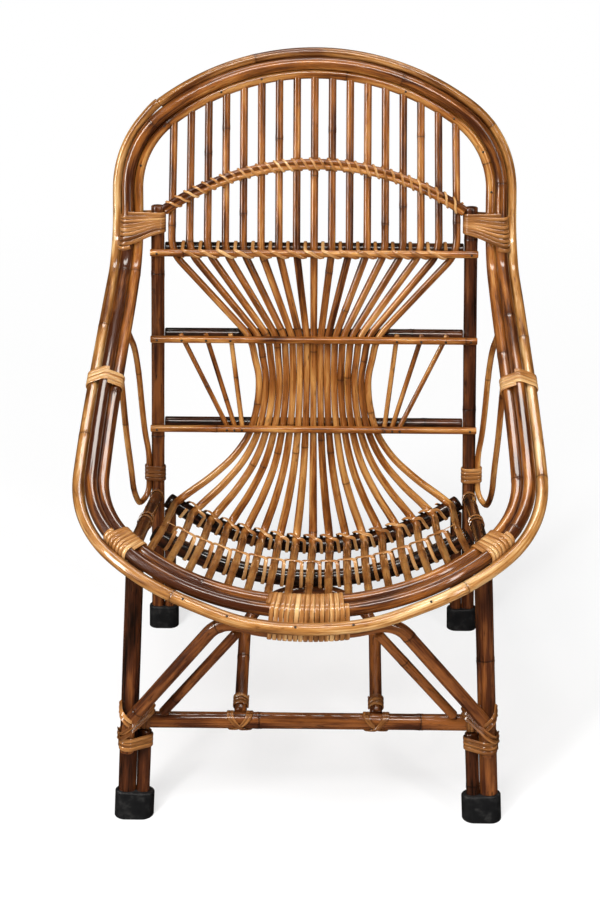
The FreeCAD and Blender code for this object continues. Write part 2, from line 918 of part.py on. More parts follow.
def arch_frame(across):
    """Place, direction and facing of the back arch in the plane of the upper spindles."""
    lean = math.radians(size("back_lean"))
    rise = Vec(0, math.sin(lean), math.cos(lean))
    foot = Vec(0, back_plane(rail_height("upper")), rail_height("upper"))
    bend = size("arch_radius")
    drop = bend - math.sqrt(bend * bend - across * across)
    place = foot + Vec(across, 0, 0) + rise * (size("arch_rise") - drop)
    way = (Vec(math.sqrt(bend * bend - across * across), 0, 0) - rise * across) * (1.0 / bend)
    return place, way, Vec(0, -math.cos(lean), math.sin(lean))


def arch_nodes(facing_shift):
    nodes = []
    for across in (-size("arch_half_span"), 0.0, size("arch_half_span")):
        place, way, facing = arch_frame(across)
        nodes.append((place + facing * facing_shift, way))
    return nodes


ARCH_SHIFT = radius("spindle_dia") + radius("arch_dia") + size("arch_fit")


def make_back_arch():
    bent_cane("back_arch_front", arch_nodes(ARCH_SHIFT), "arch_dia")
    bent_cane("back_arch_rear", arch_nodes(-ARCH_SHIFT), "arch_dia")


# Spindles: each one cane from the rim's top, through the waist, over the bearers to the rim's front.


def mid_rail_places():
    """Half places of the canes at the middle rail, spread so that slanting neighbours stay clear."""
    pitch = size("spindle_dia") + size("waist_gap")
    drop = rail_height("upper") - rail_height("middle")
    places = [0.0]
    for k in range(1, int(size("spindles_each_side")) + 1):
        across = places[-1] + pitch
        for _ in range(20):
            slant = math.atan((k * size("upper_pitch") - across) / drop)
            across = places[-1] + pitch / math.cos(slant)
        places.append(across)
    return places


MID_PLACES = mid_rail_places()
FIRST_FAN_SHARE = 0.35
LAST_FAN_SHARE = 0.66


SLAT_REST = radius("bearer_dia") + radius("spindle_dia") + size("fit")


def bearer_contact(axis, way, before, corner, after):
    """A cane's corner over a bearer and its facing, with the rounded bend resting on the bearer."""
    run_in = unit(corner - before)
    run_out = unit(after - corner)
    inside = unit(run_out - run_in)
    inside = unit(inside - way * inside.dot(way))
    half_turn = run_in.getAngle(run_out) / 2.0
    bend = corner_cut(before, corner, after, size("seat_bend")) / math.tan(half_turn)
    shortcut = bend * (1.0 / math.cos(half_turn) - 1.0)
    return axis + inside * (SLAT_REST - shortcut), inside


def seat_rests(k):
    """Corner and facing of the right spindle k over the rear and the front bearer, and its end."""
    low = rail_height("lower")
    lower = Vec(k * size("fan_pitch"), back_plane(low), low)
    end_length = rim_length_at_half(k * size("front_end_pitch"), RIM_INNER, True)
    end_target, end_way = rim_node(end_length, RIM_INNER)
    rear_axis = rear_bearer(k * size("rear_seat_pitch"))
    front_axis = front_bearer(k * size("front_seat_pitch"))
    rear_way = bearer_way(rear_axis.x, size("rear_bearer_radius"))
    front_way = bearer_way(front_axis.x, size("front_bearer_radius"))
    rise = unit(front_way.cross(rear_axis - end_target))
    front = front_axis + rise * SLAT_REST
    rear = rear_axis + rise * SLAT_REST
    for _ in range(12):
        fan = fan_point(lower, rear, LAST_FAN_SHARE)
        rear, inside = bearer_contact(rear_axis, rear_way, fan, rear, front)
    run = unit(front - end_target)
    bound = k * size("front_end_pitch") - radius("spindle_dia") < wound_half("front_turns") + STRIP_ROOM
    skin = STRIP_ROOM if bound else 0.0
    end = end_target + run * butt_length("spindle_dia", run, "rim_inner_dia", end_way, skin)
    return rear, inside, front, rise, end


def spindle_points(k):
    """Route of the right spindle k, as (point, bend), from the rim's top to the rim's front."""
    upper = Vec(k * size("upper_pitch"), back_plane(rail_height("upper")), rail_height("upper"))
    middle = Vec(MID_PLACES[k], back_plane(rail_height("middle")), rail_height("middle"))
    low = rail_height("lower")
    waist_height = (rail_height("middle") + low) / 2.0
    pitch = size("spindle_dia") + size("waist_gap")
    waist = Vec(k * pitch, back_plane(waist_height), waist_height)
    lower = Vec(k * size("fan_pitch"), back_plane(low), low)

    top_target, top_way = rim_node(rim_length_at_half(k * size("top_pitch"), RIM_INNER, False), RIM_INNER)
    run = unit(upper - top_target)
    top = top_target + run * butt_length("spindle_dia", run, "rim_inner_dia", top_way)

    rear, _, front, _, end = seat_rests(k)
    return [
        (top, 0.0),
        (rounded_corner(upper, top, middle, size("upper_bend")), size("upper_bend")),
        (middle, size("waist_bend")),
        (waist, 0.0),
        (lower, 0.0),
        (fan_point(lower, rear, FIRST_FAN_SHARE), 0.0),
        (fan_point(lower, rear, LAST_FAN_SHARE), 0.0),
        (rear, size("seat_bend")),
        (front, 0.0),
        (end, 0.0),
    ]


def fan_point(lower, rear, share):
    """A place on the way from the lower rail to the rear bearer, spreading as a power of the drop."""
    spread = share ** size("fan_curve")
    return Vec(
        lower.x + (rear.x - lower.x) * spread,
        lower.y + (rear.y - lower.y) * share,
        lower.z + (rear.z - lower.z) * share,
    )


def make_spindles():
    each_side = int(size("spindles_each_side"))
    for index in range(-each_side, each_side + 1):
        nodes = route(spindle_points(abs(index)))
        if index < 0:
            nodes = mirror_nodes(nodes)
        bent_cane("spindle_%02d" % (index + each_side + 1), nodes, "spindle_dia")


# Arm loops.


def tie_place(height):
    """Axis of the right arm loop where it lies against the post, at a height."""
    beside = radius("post_dia") + radius("loop_dia") + size("fit")
    angle = math.radians(size("loop_tie_angle"))
    return post_point(height) + Vec(beside * math.cos(angle), -beside * math.sin(angle), 0)


def loop_nodes():
    """The right arm loop: from the arm's inner cane back to the post, round its foot and up again."""
    upper, upper_way = rim_node(BEND_END + size("loop_upper_run"), RIM_INNER)
    lower, lower_way = rim_node(BEND_END + size("loop_lower_run"), RIM_INNER)
    tie_half = (size("tie_turns") / 2.0 + 1.0) * size("strip_pitch")
    tie_top = tie_place(size("loop_tie_height") + tie_half)
    tie_foot = tie_place(size("loop_tie_height") - tie_half)
    foot = tie_foot + Vec(size("loop_foot_out"), -size("loop_foot_ahead"), size("loop_foot_height") - tie_foot.z)
    knee = post_point(size("loop_tie_height") + size("loop_knee_rise"))
    knee += Vec(size("loop_knee_out"), -size("loop_knee_ahead"), 0)
    shoulder = upper + (knee - upper) * 0.5 + Vec(0, 0.1, 0.12) * (upper.z - knee.z)
    rise = foot + (lower - foot) * 0.5 + Vec(0, -0.06, -0.06) * (lower.z - foot.z)
    run_in = unit(shoulder - upper)
    run_out = unit(rise - lower)
    start = upper + run_in * butt_length("loop_dia", run_in, "rim_inner_dia", upper_way)
    finish = lower + run_out * butt_length("loop_dia", run_out, "rim_inner_dia", lower_way)
    down = POST_WAY * -1.0
    return [
        (start, run_in),
        (shoulder, unit(knee - start)),
        (knee, unit(tie_top - shoulder)),
        (tie_top, down),
        (tie_foot, down),
        (foot, unit(rise - tie_foot)),
        (rise, unit(finish - foot)),
        (finish, run_out * -1.0),
    ]


def make_loops():
    nodes = loop_nodes()
    bent_cane("side_loop_right", nodes, "loop_dia")
    bent_cane("side_loop_left", mirror_nodes(nodes), "loop_dia")


# Rubber feet: each cap holds a pole and its doubler and stands flat on the floor.


def cap_blank(name, pole_dia):
    """A rounded slab round a pole at the origin and its doubler on the X axis."""
    body = doc.addObject("PartDesign::Body", name + "_blank")
    sketch = body.newObject("Sketcher::SketchObject", name + "_outline")
    sketch.AttachmentSupport = [(f, "") for f in body.Origin.OriginFeatures if f.Role == "XY_Plane"]
    sketch.MapMode = "FlatFace"
    wide = radius(pole_dia) + size("fit") + size("cap_wall")
    pair = radius(pole_dia) + radius("doubler_dia") + size("fit")
    up = Vec(0, 0, 1)
    near = Part.ArcOfCircle(Part.Circle(Vec(0, 0, 0), up, wide), math.pi / 2.0, math.pi * 1.5)
    far = Part.ArcOfCircle(Part.Circle(Vec(pair, 0, 0), up, wide), -math.pi / 2.0, math.pi / 2.0)
    low = Part.LineSegment(Vec(0, -wide, 0), Vec(pair, -wide, 0))
    high = Part.LineSegment(Vec(pair, wide, 0), Vec(0, wide, 0))
    sketch.addGeometry([near, low, far, high], False)
    for first, first_end, second, second_end in ((0, 2, 1, 1), (1, 2, 2, 1), (2, 2, 3, 1), (3, 2, 0, 1)):
        sketch.addConstraint(Sketcher.Constraint("Tangent", first, first_end, second, second_end))
    sketch.addConstraint(Sketcher.Constraint("Coincident", 0, 3, -1, 1))
    sketch.addConstraint(Sketcher.Constraint("PointOnObject", 2, 3, -1))
    sketch.addConstraint(Sketcher.Constraint("Equal", 0, 2))
    wide_rule = sketch.addConstraint(Sketcher.Constraint("Radius", 0, wide))
    pair_rule = sketch.addConstraint(Sketcher.Constraint("DistanceX", 0, 3, 2, 3, pair))
    sketch.setExpression("Constraints[%d]" % wide_rule, "Sizes.%s / 2 + Sizes.fit + Sizes.cap_wall" % pole_dia)
    sketch.setExpression("Constraints[%d]" % pair_rule, "(Sizes.%s + Sizes.doubler_dia) / 2 + Sizes.fit" % pole_dia)
    pad = body.newObject("PartDesign::Pad", name + "_pad")
    pad.Profile = sketch
    pad.setExpression("Length", "Sizes.cap_height + Sizes.cap_below")
    doc.recompute()
    rim = ["Edge%d" % (k + 1) for k, e in enumerate(pad.Shape.Edges) if e.BoundBox.ZMin > pad.Shape.BoundBox.ZMax - 1e-6]
    rounding = body.newObject("PartDesign::Fillet", name + "_rounding")
    rounding.Base = (pad, rim)
    rounding.setExpression("Radius", "Sizes.cap_round")
    return body


def socket(name, start, way, dia):
    """The hole of a pole in its cap."""
    hole = doc.addObject("Part::Cylinder", name)
    hole.setExpression("Radius", "Sizes.%s / 2 + Sizes.fit" % dia)
    hole.setExpression("Height", "Sizes.cap_height")
    hole.Placement = aimed(start - way * size("fit"), way)
    return hole


def below_floor(name, centre):
    """A block under the floor that trims a leaning cap flat."""
    block = doc.addObject("Part::Box", name)
    block.setExpression("Length", "Sizes.cap_height * 4")
    block.setExpression("Width", "Sizes.cap_height * 4")
    block.setExpression("Height", "Sizes.cap_height")
    half = size("cap_height") * 2.0
    block.Placement.Base = Vec(centre.x - half, centre.y - half, -size("cap_height"))
    return block


def make_cap(name, foot, way, step, pole_dia):
    """A cap for a pole and its doubler, one step beside it."""
    body = cap_blank(name, pole_dia)
    side = unit(step)
    turn = FreeCAD.Rotation(side, way.cross(side), way, "ZXY")
    ground = foot - way * (foot.z / way.z)
    body.Placement = FreeCAD.Placement(ground - way * size("cap_below"), turn)
    tools = doc.addObject("Part::MultiFuse", name + "_tools")
    tools.Shapes = [
        socket(name + "_pole_hole", foot, way, pole_dia),
        socket(name + "_doubler_hole", foot + step, way, "doubler_dia"),
        below_floor(name + "_floor", ground),
    ]
    cap = doc.addObject("Part::Cut", name)
    cap.Base = body
    cap.Tool = tools
    sub_part(cap, name)


def make_feet():
    feet = (
        ("front", LEG_FOOT, LEG_WAY, LEG_PAIR, "leg_dia"),
        ("rear", POST_FOOT, POST_WAY, POST_PAIR, "post_dia"),
    )
    for end, foot, way, pair, dia in feet:
        step = inward_step(way, pair)
        make_cap("foot_cap_%s_right" % end, foot, way, step, dia)
        make_cap("foot_cap_%s_left" % end, mirrored(foot), mirrored(way), mirrored(step), dia)


# Bindings: each strip is one unbroken winding round a bundle of canes.

STANDOFF = radius("strip_dia") + size("bind_fit")
GAP_STEP = 1.0
LEAST_GAP = 0.4
LEAST_CONTACT = 0.03


def tangent_angle(here, there):
    """Angle of the normal of the outer tangent from one circle (u, v, r) to the next."""
    du = there[0] - here[0]
    dv = there[1] - here[1]
    return math.atan2(dv, du) - math.acos((here[2] - there[2]) / math.hypot(du, dv))


def hull_order(circles):
    """Circles that a strip pulled round the bundle touches, in order, the first circle first."""
    order = []
    for step in range(360):
        turn = math.radians(step)
        reach = [u * math.cos(turn) + v * math.sin(turn) + r for u, v, r in circles]
        best = reach.index(max(reach))
        if not order or order[-1] != best:
            order.append(best)
    if len(order) > 1 and order[0] == order[-1]:
        order.pop()
    start = order.index(0)
    return order[start:] + order[:start]


def contact_spans(circles, order):
    """Angle at which the strip meets each circle of the order, and how far it stays on it."""
    spans = []
    for place, k in enumerate(order):
        following = order[(place + 1) % len(order)]
        first = tangent_angle(circles[order[place - 1]], circles[k])
        spans.append((first, (tangent_angle(circles[k], circles[following]) - first) % (2.0 * math.pi)))
    return spans


def hull_stops(circles):
    """Stops of the strip as (circle, angle), at most a quarter turn apart."""
    if len(circles) == 1:
        return [(0, math.pi / 2.0 * quarter) for quarter in range(4)]
    order = hull_order(circles)
    spans = contact_spans(circles, order)
    kept = [k for k, (_, span) in zip(order, spans) if span > LEAST_CONTACT]
    stops = []
    for k, (first, span) in zip(kept, contact_spans(circles, kept)):
        pieces = math.ceil(span / (math.pi / 2.0))
        stops += [(k, first + span * j / pieces) for j in range(pieces + 1)]
    return stops


def stop_lengths(circles, stops):
    """Length along the strip at each stop, and once round."""
    lengths = [0.0]
    for (k, angle), (other, other_angle) in zip(stops, stops[1:] + stops[:1]):
        u, v, r = circles[k]
        x, y, q = circles[other]
        if k == other:
            run = r * ((other_angle - angle) % (2.0 * math.pi))
        else:
            du = x + q * math.cos(other_angle) - u - r * math.cos(angle)
            dv = y + q * math.sin(other_angle) - v - r * math.sin(angle)
            run = math.hypot(du, dv)
        lengths.append(lengths[-1] + run)
    return lengths


def ring(frame_at, members, length):
    """The bundle's canes cut across, as circles (u, v, radius of the strip's axis)."""
    place, way, across, up = frame_at(length)
    circles = []
    for member, dia in members:
        centre, direction = member(length, place, way)
        wide = radius(dia) / abs(direction.dot(way))
        offset = centre - place
        circles.append((offset.dot(across), offset.dot(up), wide + STANDOFF))
    return circles


def with_tails(nodes):
    """Nodes with both ends run straight on for one strip diameter."""
    reach = size("strip_dia")
    first, first_way = nodes[0]
    last, last_way = nodes[-1]
    return [(first - first_way * reach, first_way)] + nodes + [(last + last_way * reach, last_way)]


def winding_nodes(frame_at, members, start, turns):
    """A strip wound round a bundle; frame_at gives place, way and two sides at a length along it."""
    pitch = size("strip_pitch")
    nodes = []
    for turn in range(int(turns)):
        circles = ring(frame_at, members, start + turn * pitch)
        stops = hull_stops(circles)
        lengths = stop_lengths(circles, stops)
        for (k, angle), length in zip(stops, lengths):
            station = start + (turn + length / lengths[-1]) * pitch
            place, way, across, up = frame_at(station)
            u, v, r = ring(frame_at, members, station)[k]
            side = across * math.cos(angle) + up * math.sin(angle)
            run = up * math.cos(angle) - across * math.sin(angle) + way * (pitch / lengths[-1])
            nodes.append((place + across * u + up * v + side * r, unit(run)))
    return with_tails(nodes)


def least_gap(nodes):
    """Least gap of a strip to itself, measured on points along it."""
    wire = path_wire(nodes)
    points = wire.discretize(Number=int(wire.Length / GAP_STEP) + 2)
    cell = 3.0 * size("strip_dia")
    apart = cell / GAP_STEP
    least = cell
    cells = {}
    near = [(i, j, k) for i in (-1, 0, 1) for j in (-1, 0, 1) for k in (-1, 0, 1)]
    for index, p in enumerate(points):
        home = (int(p.x // cell), int(p.y // cell), int(p.z // cell))
        for i, j, k in near:
            for other, q in cells.get((home[0] + i, home[1] + j, home[2] + k), ()):
                if index - other > apart:
                    least = min(least, (p - q).Length)
        cells.setdefault(home, []).append((index, p))
    return least - size("strip_dia")


def strips(label, windings):
    """A node of one or more separate strips, each with its own gap to itself checked."""
    members = []
    for k, nodes in enumerate(windings):
        gap = least_gap(nodes)
        print("%s strip %d: least gap to itself %.2f mm" % (label, k + 1, gap))
        if gap < LEAST_GAP:
            raise RuntimeError("%s touches itself" % label)
        members.append(tube("%s_%d" % (label, k + 1), nodes, "strip_dia"))
    if len(members) == 1:
        members[0].Label = label
        parts.append(members[0])
    else:
        group(label, members)


def in_pairs(windings):
    return [side for nodes in windings for side in (nodes, mirror_nodes(nodes))]


def rim_cane(offset):
    """A rim cane as a member of a bundle: its axis at a length along the hoop."""
    return lambda length, place, way: (rim_point(length, offset), way)


def rim_crossing(offset):
    """A rim cane as a member of a bundle along another line: where it crosses the plane of a frame."""

    def member(length, place, way):
        station = bisect(0.0, SIDE_END, lambda s: (rim_point(s, offset) - place).dot(way) > 0.0)
        return rim_node(station, offset)

    return member


def pole(start, direction):
    """A straight cane as a member of a bundle: where it crosses the plane of a frame."""

    def member(length, place, way):
        return start + direction * ((place - start).dot(way) / direction.dot(way)), direction

    return member


def pole_frame(start, way):
    """Frames along a straight cane, square to it."""
    across = unit(Vec(-1, 0, 0) + way * way.x)
    return lambda length: (start + way * length, way, across, way.cross(across))


INNER_MIDDLE = [(rim_cane(RIM_MIDDLE), "rim_middle_dia"), (rim_cane(RIM_INNER), "rim_inner_dia")]
OUTER = [(rim_cane(RIM_OUTER), "rim_outer_dia")]


def make_rim_bindings():
    """Bindings of the hoop: to the posts, round all three canes, at the corners and at the front."""
    post = [
        (rim_crossing(RIM_MIDDLE), "rim_middle_dia"),
        (rim_crossing(RIM_INNER), "rim_inner_dia"),
        (pole(POST_FOOT, POST_WAY), "post_dia"),
    ]
    start = -size("shoulder_bind_drop") - wound_half("shoulder_turns")
    winding = winding_nodes(pole_frame(POST_TOP, POST_WAY), post, start, size("shoulder_turns"))
    strips("shoulder_bindings", in_pairs([winding]))
    start = BEND_END + size("arm_bind_run") - wound_half("arm_turns")
    strips("arm_bindings", in_pairs([winding_nodes(rim_frame, INNER_MIDDLE + OUTER, start, size("arm_turns"))]))
    start = rim_length_at_half(size("corner_bind_half"), RIM_INNER, True) - wound_half("corner_turns")
    strips("corner_bindings", in_pairs([winding_nodes(rim_frame, INNER_MIDDLE, start, size("corner_turns"))]))
    brace = INNER_MIDDLE + [(rim_cane(brace_offset()), "brace_dia")]
    start = HALF_LENGTH - wound_half("front_turns")
    strips("front_binding", [winding_nodes(front_frame, front_members(brace), start, size("front_turns"))])


def front_frame(length):
    """Frames of the hoop past the middle of the front, where the left half mirrors the right."""
    if length <= HALF_LENGTH:
        return rim_frame(length)
    place, way, facing, outward = rim_frame(2.0 * HALF_LENGTH - length)
    return mirrored(place), mirrored(way) * -1.0, mirrored(facing), mirrored(outward)


def front_members(members):
    """Members of a bundle that runs on past the middle of the front."""

    def past(member):
        def at(length, place, way):
            if length <= HALF_LENGTH:
                return member(length, place, way)
            centre, _ = member(2.0 * HALF_LENGTH - length, place, way)
            return mirrored(centre), way

        return at

    return [(past(member), dia) for member, dia in members]


def make_pole_bindings():
    """Bindings of the legs with their doublers and brace ends, of the arm loops, and of the prop."""
    step = inward_step(LEG_WAY, LEG_PAIR)
    leg = [
        (pole(LEG_FOOT, LEG_WAY), "leg_dia"),
        (pole(LEG_FOOT + step, LEG_WAY), "doubler_dia"),
        (pole(brace_nodes()[0][0], LEG_WAY), "brace_dia"),
    ]
    start = (size("leg_bind_height") - LEG_FOOT.z) / LEG_WAY.z
    windings = [winding_nodes(pole_frame(LEG_FOOT, LEG_WAY), leg, start, size("leg_turns"))]
    tie = [(pole(POST_FOOT, POST_WAY), "post_dia"), (pole(tie_place(size("loop_tie_height")), POST_WAY), "loop_dia")]
    start = (size("loop_tie_height") - POST_FOOT.z) / POST_WAY.z - wound_half("tie_turns")
    windings.append(winding_nodes(pole_frame(POST_FOOT, POST_WAY), tie, start, size("tie_turns")))
    foot, _, _, way, half = prop_axis()
    prop = [(pole(foot + half, way), "prop_dia")]
    windings.append(
        winding_nodes(pole_frame(foot + half, way), prop, size("prop_bind_start"), size("prop_turns"))
    )
    strips("frame_bindings", in_pairs(windings))


# Lashings: one strip that runs along a rail, over every crossing cane and round the rail between them.


def lash_sides(place, way, facing, reach, front, rear):
    """Nodes down one side, round the rear and up the other side of a front and a rear circle."""
    face = unit(facing - way * facing.dot(way))
    side = way.cross(face)
    sine = (rear - front) / reach
    cosine = math.sqrt(1.0 - sine * sine)
    ahead = place + face * reach
    right = side * cosine + face * sine
    left = face * sine - side * cosine
    return [
        (ahead + right * front, side * sine - face * cosine),
        (place + right * rear, side * sine - face * cosine),
        (place - face * rear, side * -1.0),
        (place + left * rear, face * cosine + side * sine),
        (ahead + left * front, face * cosine + side * sine),
    ]


def lash_crossing(place, way, facing, reach, front, pitch):
    """The node on top of a crossing, where the strip runs on to the next gap."""
    face = unit(facing - way * facing.dot(way))
    slant = way.cross(face) * front + way * (pitch / math.pi)
    return place + face * (reach + front), unit(slant)


def lashing_nodes(frame_at, places, reach, front_dia, rear_dia):
    """A lashing over the crossings at the given places; frame_at gives place, way and facing."""
    front = radius(front_dia) + STANDOFF
    rear = radius(rear_dia) + STANDOFF
    pitch = places[1] - places[0]
    nodes = []
    for place in places:
        point, way, facing = frame_at(place - pitch / 2.0)
        nodes += lash_sides(point, way, facing, reach, front, rear)
        point, way, facing = frame_at(place)
        nodes.append(lash_crossing(point, way, facing, reach, front, pitch))
    point, way, facing = frame_at(places[-1] + pitch / 2.0)
    return with_tails(nodes + lash_sides(point, way, facing, reach, front, rear))


def rail_frame(across):
    height = rail_height("upper")
    return Vec(across, rear_rail_depth(height), height), Vec(1, 0, 0), AHEAD


def arch_lash_frame(across):
    place, way, facing = arch_frame(across)
    return place - facing * ARCH_SHIFT, way, facing


def lash_places(pitch):
    last = int(size("lashed_each_side"))
    return [k * pitch for k in range(-last, last + 1)]


def seat_facings(which):
    """Facing of each crossing of a bearer, from the middle to the last: 1 the rear, 3 the front bearer."""
    return [seat_rests(k)[which] for k in range(int(size("spindles_each_side")) + 1)]


def seat_frame(bearer, bend, pitch, facings):
    """Frames along a bearer, facing its crossing canes and, between two of them, half way."""

    def frame_at(across):
        step = abs(across) / pitch
        low = int(step)
        facing = facings[low] + (facings[low + 1] - facings[low]) * (step - low)
        if across < 0.0:
            facing = mirrored(facing)
        return bearer(across), bearer_way(across, bend), facing

    return frame_at


def make_lashings():
    height = rail_height("upper")
    rail_reach = rear_rail_depth(height) - front_rail_depth(height)
    rail = lashing_nodes(
        rail_frame, lash_places(size("upper_pitch")), rail_reach, "front_rail_dia", "rear_rail_dia"
    )
    arch_pitch = (size("upper_pitch") + size("top_pitch")) / 2.0
    arch = lashing_nodes(arch_lash_frame, lash_places(arch_pitch), 2.0 * ARCH_SHIFT, "arch_dia", "arch_dia")
    windings = [rail, arch]
    rests = (
        (rear_bearer, "rear_bearer_radius", "rear_seat_pitch", 1),
        (front_bearer, "front_bearer_radius", "front_seat_pitch", 3),
    )
    for bearer, bend, pitch, which in rests:
        frame_at = seat_frame(bearer, size(bend), size(pitch), seat_facings(which))
        windings.append(
            lashing_nodes(frame_at, lash_places(size(pitch)), SLAT_REST, "spindle_dia", "bearer_dia")
        )
    strips("cane_lashings", windings)


doc.recompute()
make_rim()
make_posts()
make_front_frame()
make_seat_frame()
make_back_rails()
make_fan_sticks()
make_nails()
make_back_arch()
make_spindles()
make_loops()
make_feet()
make_rim_bindings()
make_pole_bindings()
make_lashings()
doc.recompute()

for obj in parts:
    if "Invalid" in obj.State or "Error" in obj.State or obj.Shape.isNull() or not obj.Shape.isValid():
        raise RuntimeError("%s has no valid shape" % obj.Label)
os.makedirs("parts", exist_ok=True)
for obj in parts:
    obj.Shape.exportStep("parts/%s.step" % obj.Label)
print("wrote %d sub-parts" % len(parts))
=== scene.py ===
import math

import bpy
import numpy as np
from bpy.props import FloatProperty, FloatVectorProperty, IntProperty, PointerProperty
from bpy.types import Operator, Panel, PropertyGroup
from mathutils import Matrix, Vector


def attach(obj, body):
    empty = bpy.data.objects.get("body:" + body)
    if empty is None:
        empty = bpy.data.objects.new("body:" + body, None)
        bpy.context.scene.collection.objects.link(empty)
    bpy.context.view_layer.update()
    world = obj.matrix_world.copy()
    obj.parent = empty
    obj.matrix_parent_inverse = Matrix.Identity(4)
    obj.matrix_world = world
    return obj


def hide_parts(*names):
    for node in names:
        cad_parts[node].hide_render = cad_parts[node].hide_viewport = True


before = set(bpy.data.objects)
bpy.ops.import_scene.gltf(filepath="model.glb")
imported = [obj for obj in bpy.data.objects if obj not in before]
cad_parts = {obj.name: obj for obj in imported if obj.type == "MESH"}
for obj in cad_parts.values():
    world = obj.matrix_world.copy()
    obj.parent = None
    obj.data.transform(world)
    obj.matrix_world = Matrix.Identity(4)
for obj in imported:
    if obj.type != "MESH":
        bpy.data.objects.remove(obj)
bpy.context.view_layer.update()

bl_info = {
    "name": "Bamboo lawn chair",
    "version": (1, 0, 0),
    "blender": (4, 5, 0),
    "location": "3D View > Sidebar > Bamboo chair",
    "description": "Dresses the packed chair frame with canes, cane bindings, nails and rubber feet",
    "category": "Object",
}

AHEAD = np.array((0.0, -1.0, 0.0))
ACROSS = np.array((1.0, 0.0, 0.0))
UP = np.array((0.0, 0.0, 1.0))
RAILS = ("upper", "middle", "lower")
FAN_STICKS = 3  # on each side of the waist

# Room between pieces, in metres.
FIT = 0.0003  # between canes side by side
BUTT_FIT = 0.0005  # between a cut end and the cane that it meets
ARCH_FIT = 0.0005  # between back arch and spindles
STRIP_ROOM = 0.0034  # for a binding
CAP_FLOOR = 0.008  # rubber under a foot

# How paths are worked out.
PATH_STEP = 0.0015  # between points of a bent path
NEAR = 0.0005  # half step for a direction along the hoop
MOST_CUT = 0.45  # of a run that a rounded corner may take
BEND_TRIES, PLACE_TRIES = 12, 20  # for places that depend on themselves
FAN_KNEES = (0.35, 0.66)  # guides of a spindle between lower rail and rear bearer
LOOP_BULGE = np.array((0.0, 0.1, 0.12))  # of an arm loop's upper run, by its rise
LOOP_SAG = np.array((0.0, -0.06, -0.06))  # of its lower run
SWELL_START, SWELL_RUN = 0.30, 0.15  # where rim canes thicken, in half hoops
SHOULDER_HALF, SHOULDER_EASE = 0.032, 0.055  # outer cane beside a shoulder binding
FRONT_FREE, FRONT_EASE, BOW_EASE = 0.015, 0.085, 0.12  # outer cane beside the front binding


# Settings that a user may change.


def span(title, words, metres):
    """A length in metres."""
    return FloatProperty(name=title, description=words, default=metres, unit="LENGTH", precision=4)


def thickness(piece, metres):
    """The diameter of a cane."""
    return span(piece, "Diameter of the " + piece.lower(), metres)


def slope(title, words, degrees):
    """An angle, given in degrees."""
    return FloatProperty(name=title, description=words, default=math.radians(degrees), subtype="ANGLE")


def amount(title, words, number):
    """A plain number."""
    return FloatProperty(name=title, description=words, default=number, precision=3)


def count(title, words, number):
    """A whole number of turns or canes."""
    return IntProperty(name=title, description=words, default=number, min=1)


def power(title, words, watts):
    """The power of a lamp."""
    return FloatProperty(name=title, description=words, default=watts, unit="POWER")


def colour(title, words, *rgb):
    """A colour in linear light."""
    return FloatVectorProperty(
        name=title, description=words, default=rgb, size=3, min=0.0, max=1.0, subtype="COLOR"
    )


class RimSizes(PropertyGroup):
    """The hoop of three canes that makes the back arch, the arms and the seat front."""

    outer_dia: thickness("Outer cane", 0.014)
    middle_dia: thickness("Middle cane", 0.018)
    inner_dia: thickness("Inner cane", 0.015)
    top_height: span("Top height", "Height of the back arch", 0.887)
    lean: slope("Back lean", "Lean of the back", 12.0)
    shoulder_height: span("Shoulder height", "Height at which the back turns into the arms", 0.617)
    shoulder_bend: span("Shoulder bend", "Bend radius from back to arm", 0.110)
    front_reach: span("Front reach", "Seat front ahead of the middle", 0.322)
    front_height: span("Front height", "Height of the seat front", 0.335)
    back_half: span("Back half width", "Half width of the back", 0.277)
    arm_half: span("Arm half width", "Half width at the arms", 0.2925)
    crown_rise: span("Crown rise", "Rise of the back arch", 0.184)
    crown_corner: span("Crown corner", "Radius of the back arch at its corners", 0.139)
    front_bow: span("Front bow", "Depth of the bow at the seat front", 0.225)
    front_corner: span("Front corner", "Radius of the front bow at its corners", 0.177)
    middle_forward: span("Middle forward", "How far the middle cane stands forward", 0.008)
    front_roll: slope("Front roll", "Roll of the bundle at the seat front", 19.0)
    outer_gap: span("Outer gap", "Gap between outer and middle cane", 0.0045)
    outer_front_gap: span("Outer front gap", "That gap at the seat front", 0.008)
    outer_front_lift: span("Outer front lift", "Lift of the outer cane at the seat front", 0.0107)
    scarf_lift: span("Scarf lift", "How far the outer cane's lower end stands off its upper end", 0.0018)
    scarf_run: span("Scarf run", "Length over which that end settles", 0.030)
    # Painted shade: the left arm and the front left are drawn darker for the shade on that side of the chair.
    left_painted_shade: amount("Left painted shade", "How much darker the left arm and the front left are", 1.3)
    arm_swell: amount("Arm swell", "How much outer and inner cane thicken along arms and front", 0.17)
    outer_room: span("Outer room", "Room between outer and middle cane along back and arms", 0.0012)
    bow_room: span("Bow room", "Room between outer and middle cane round the front", 0.0019)


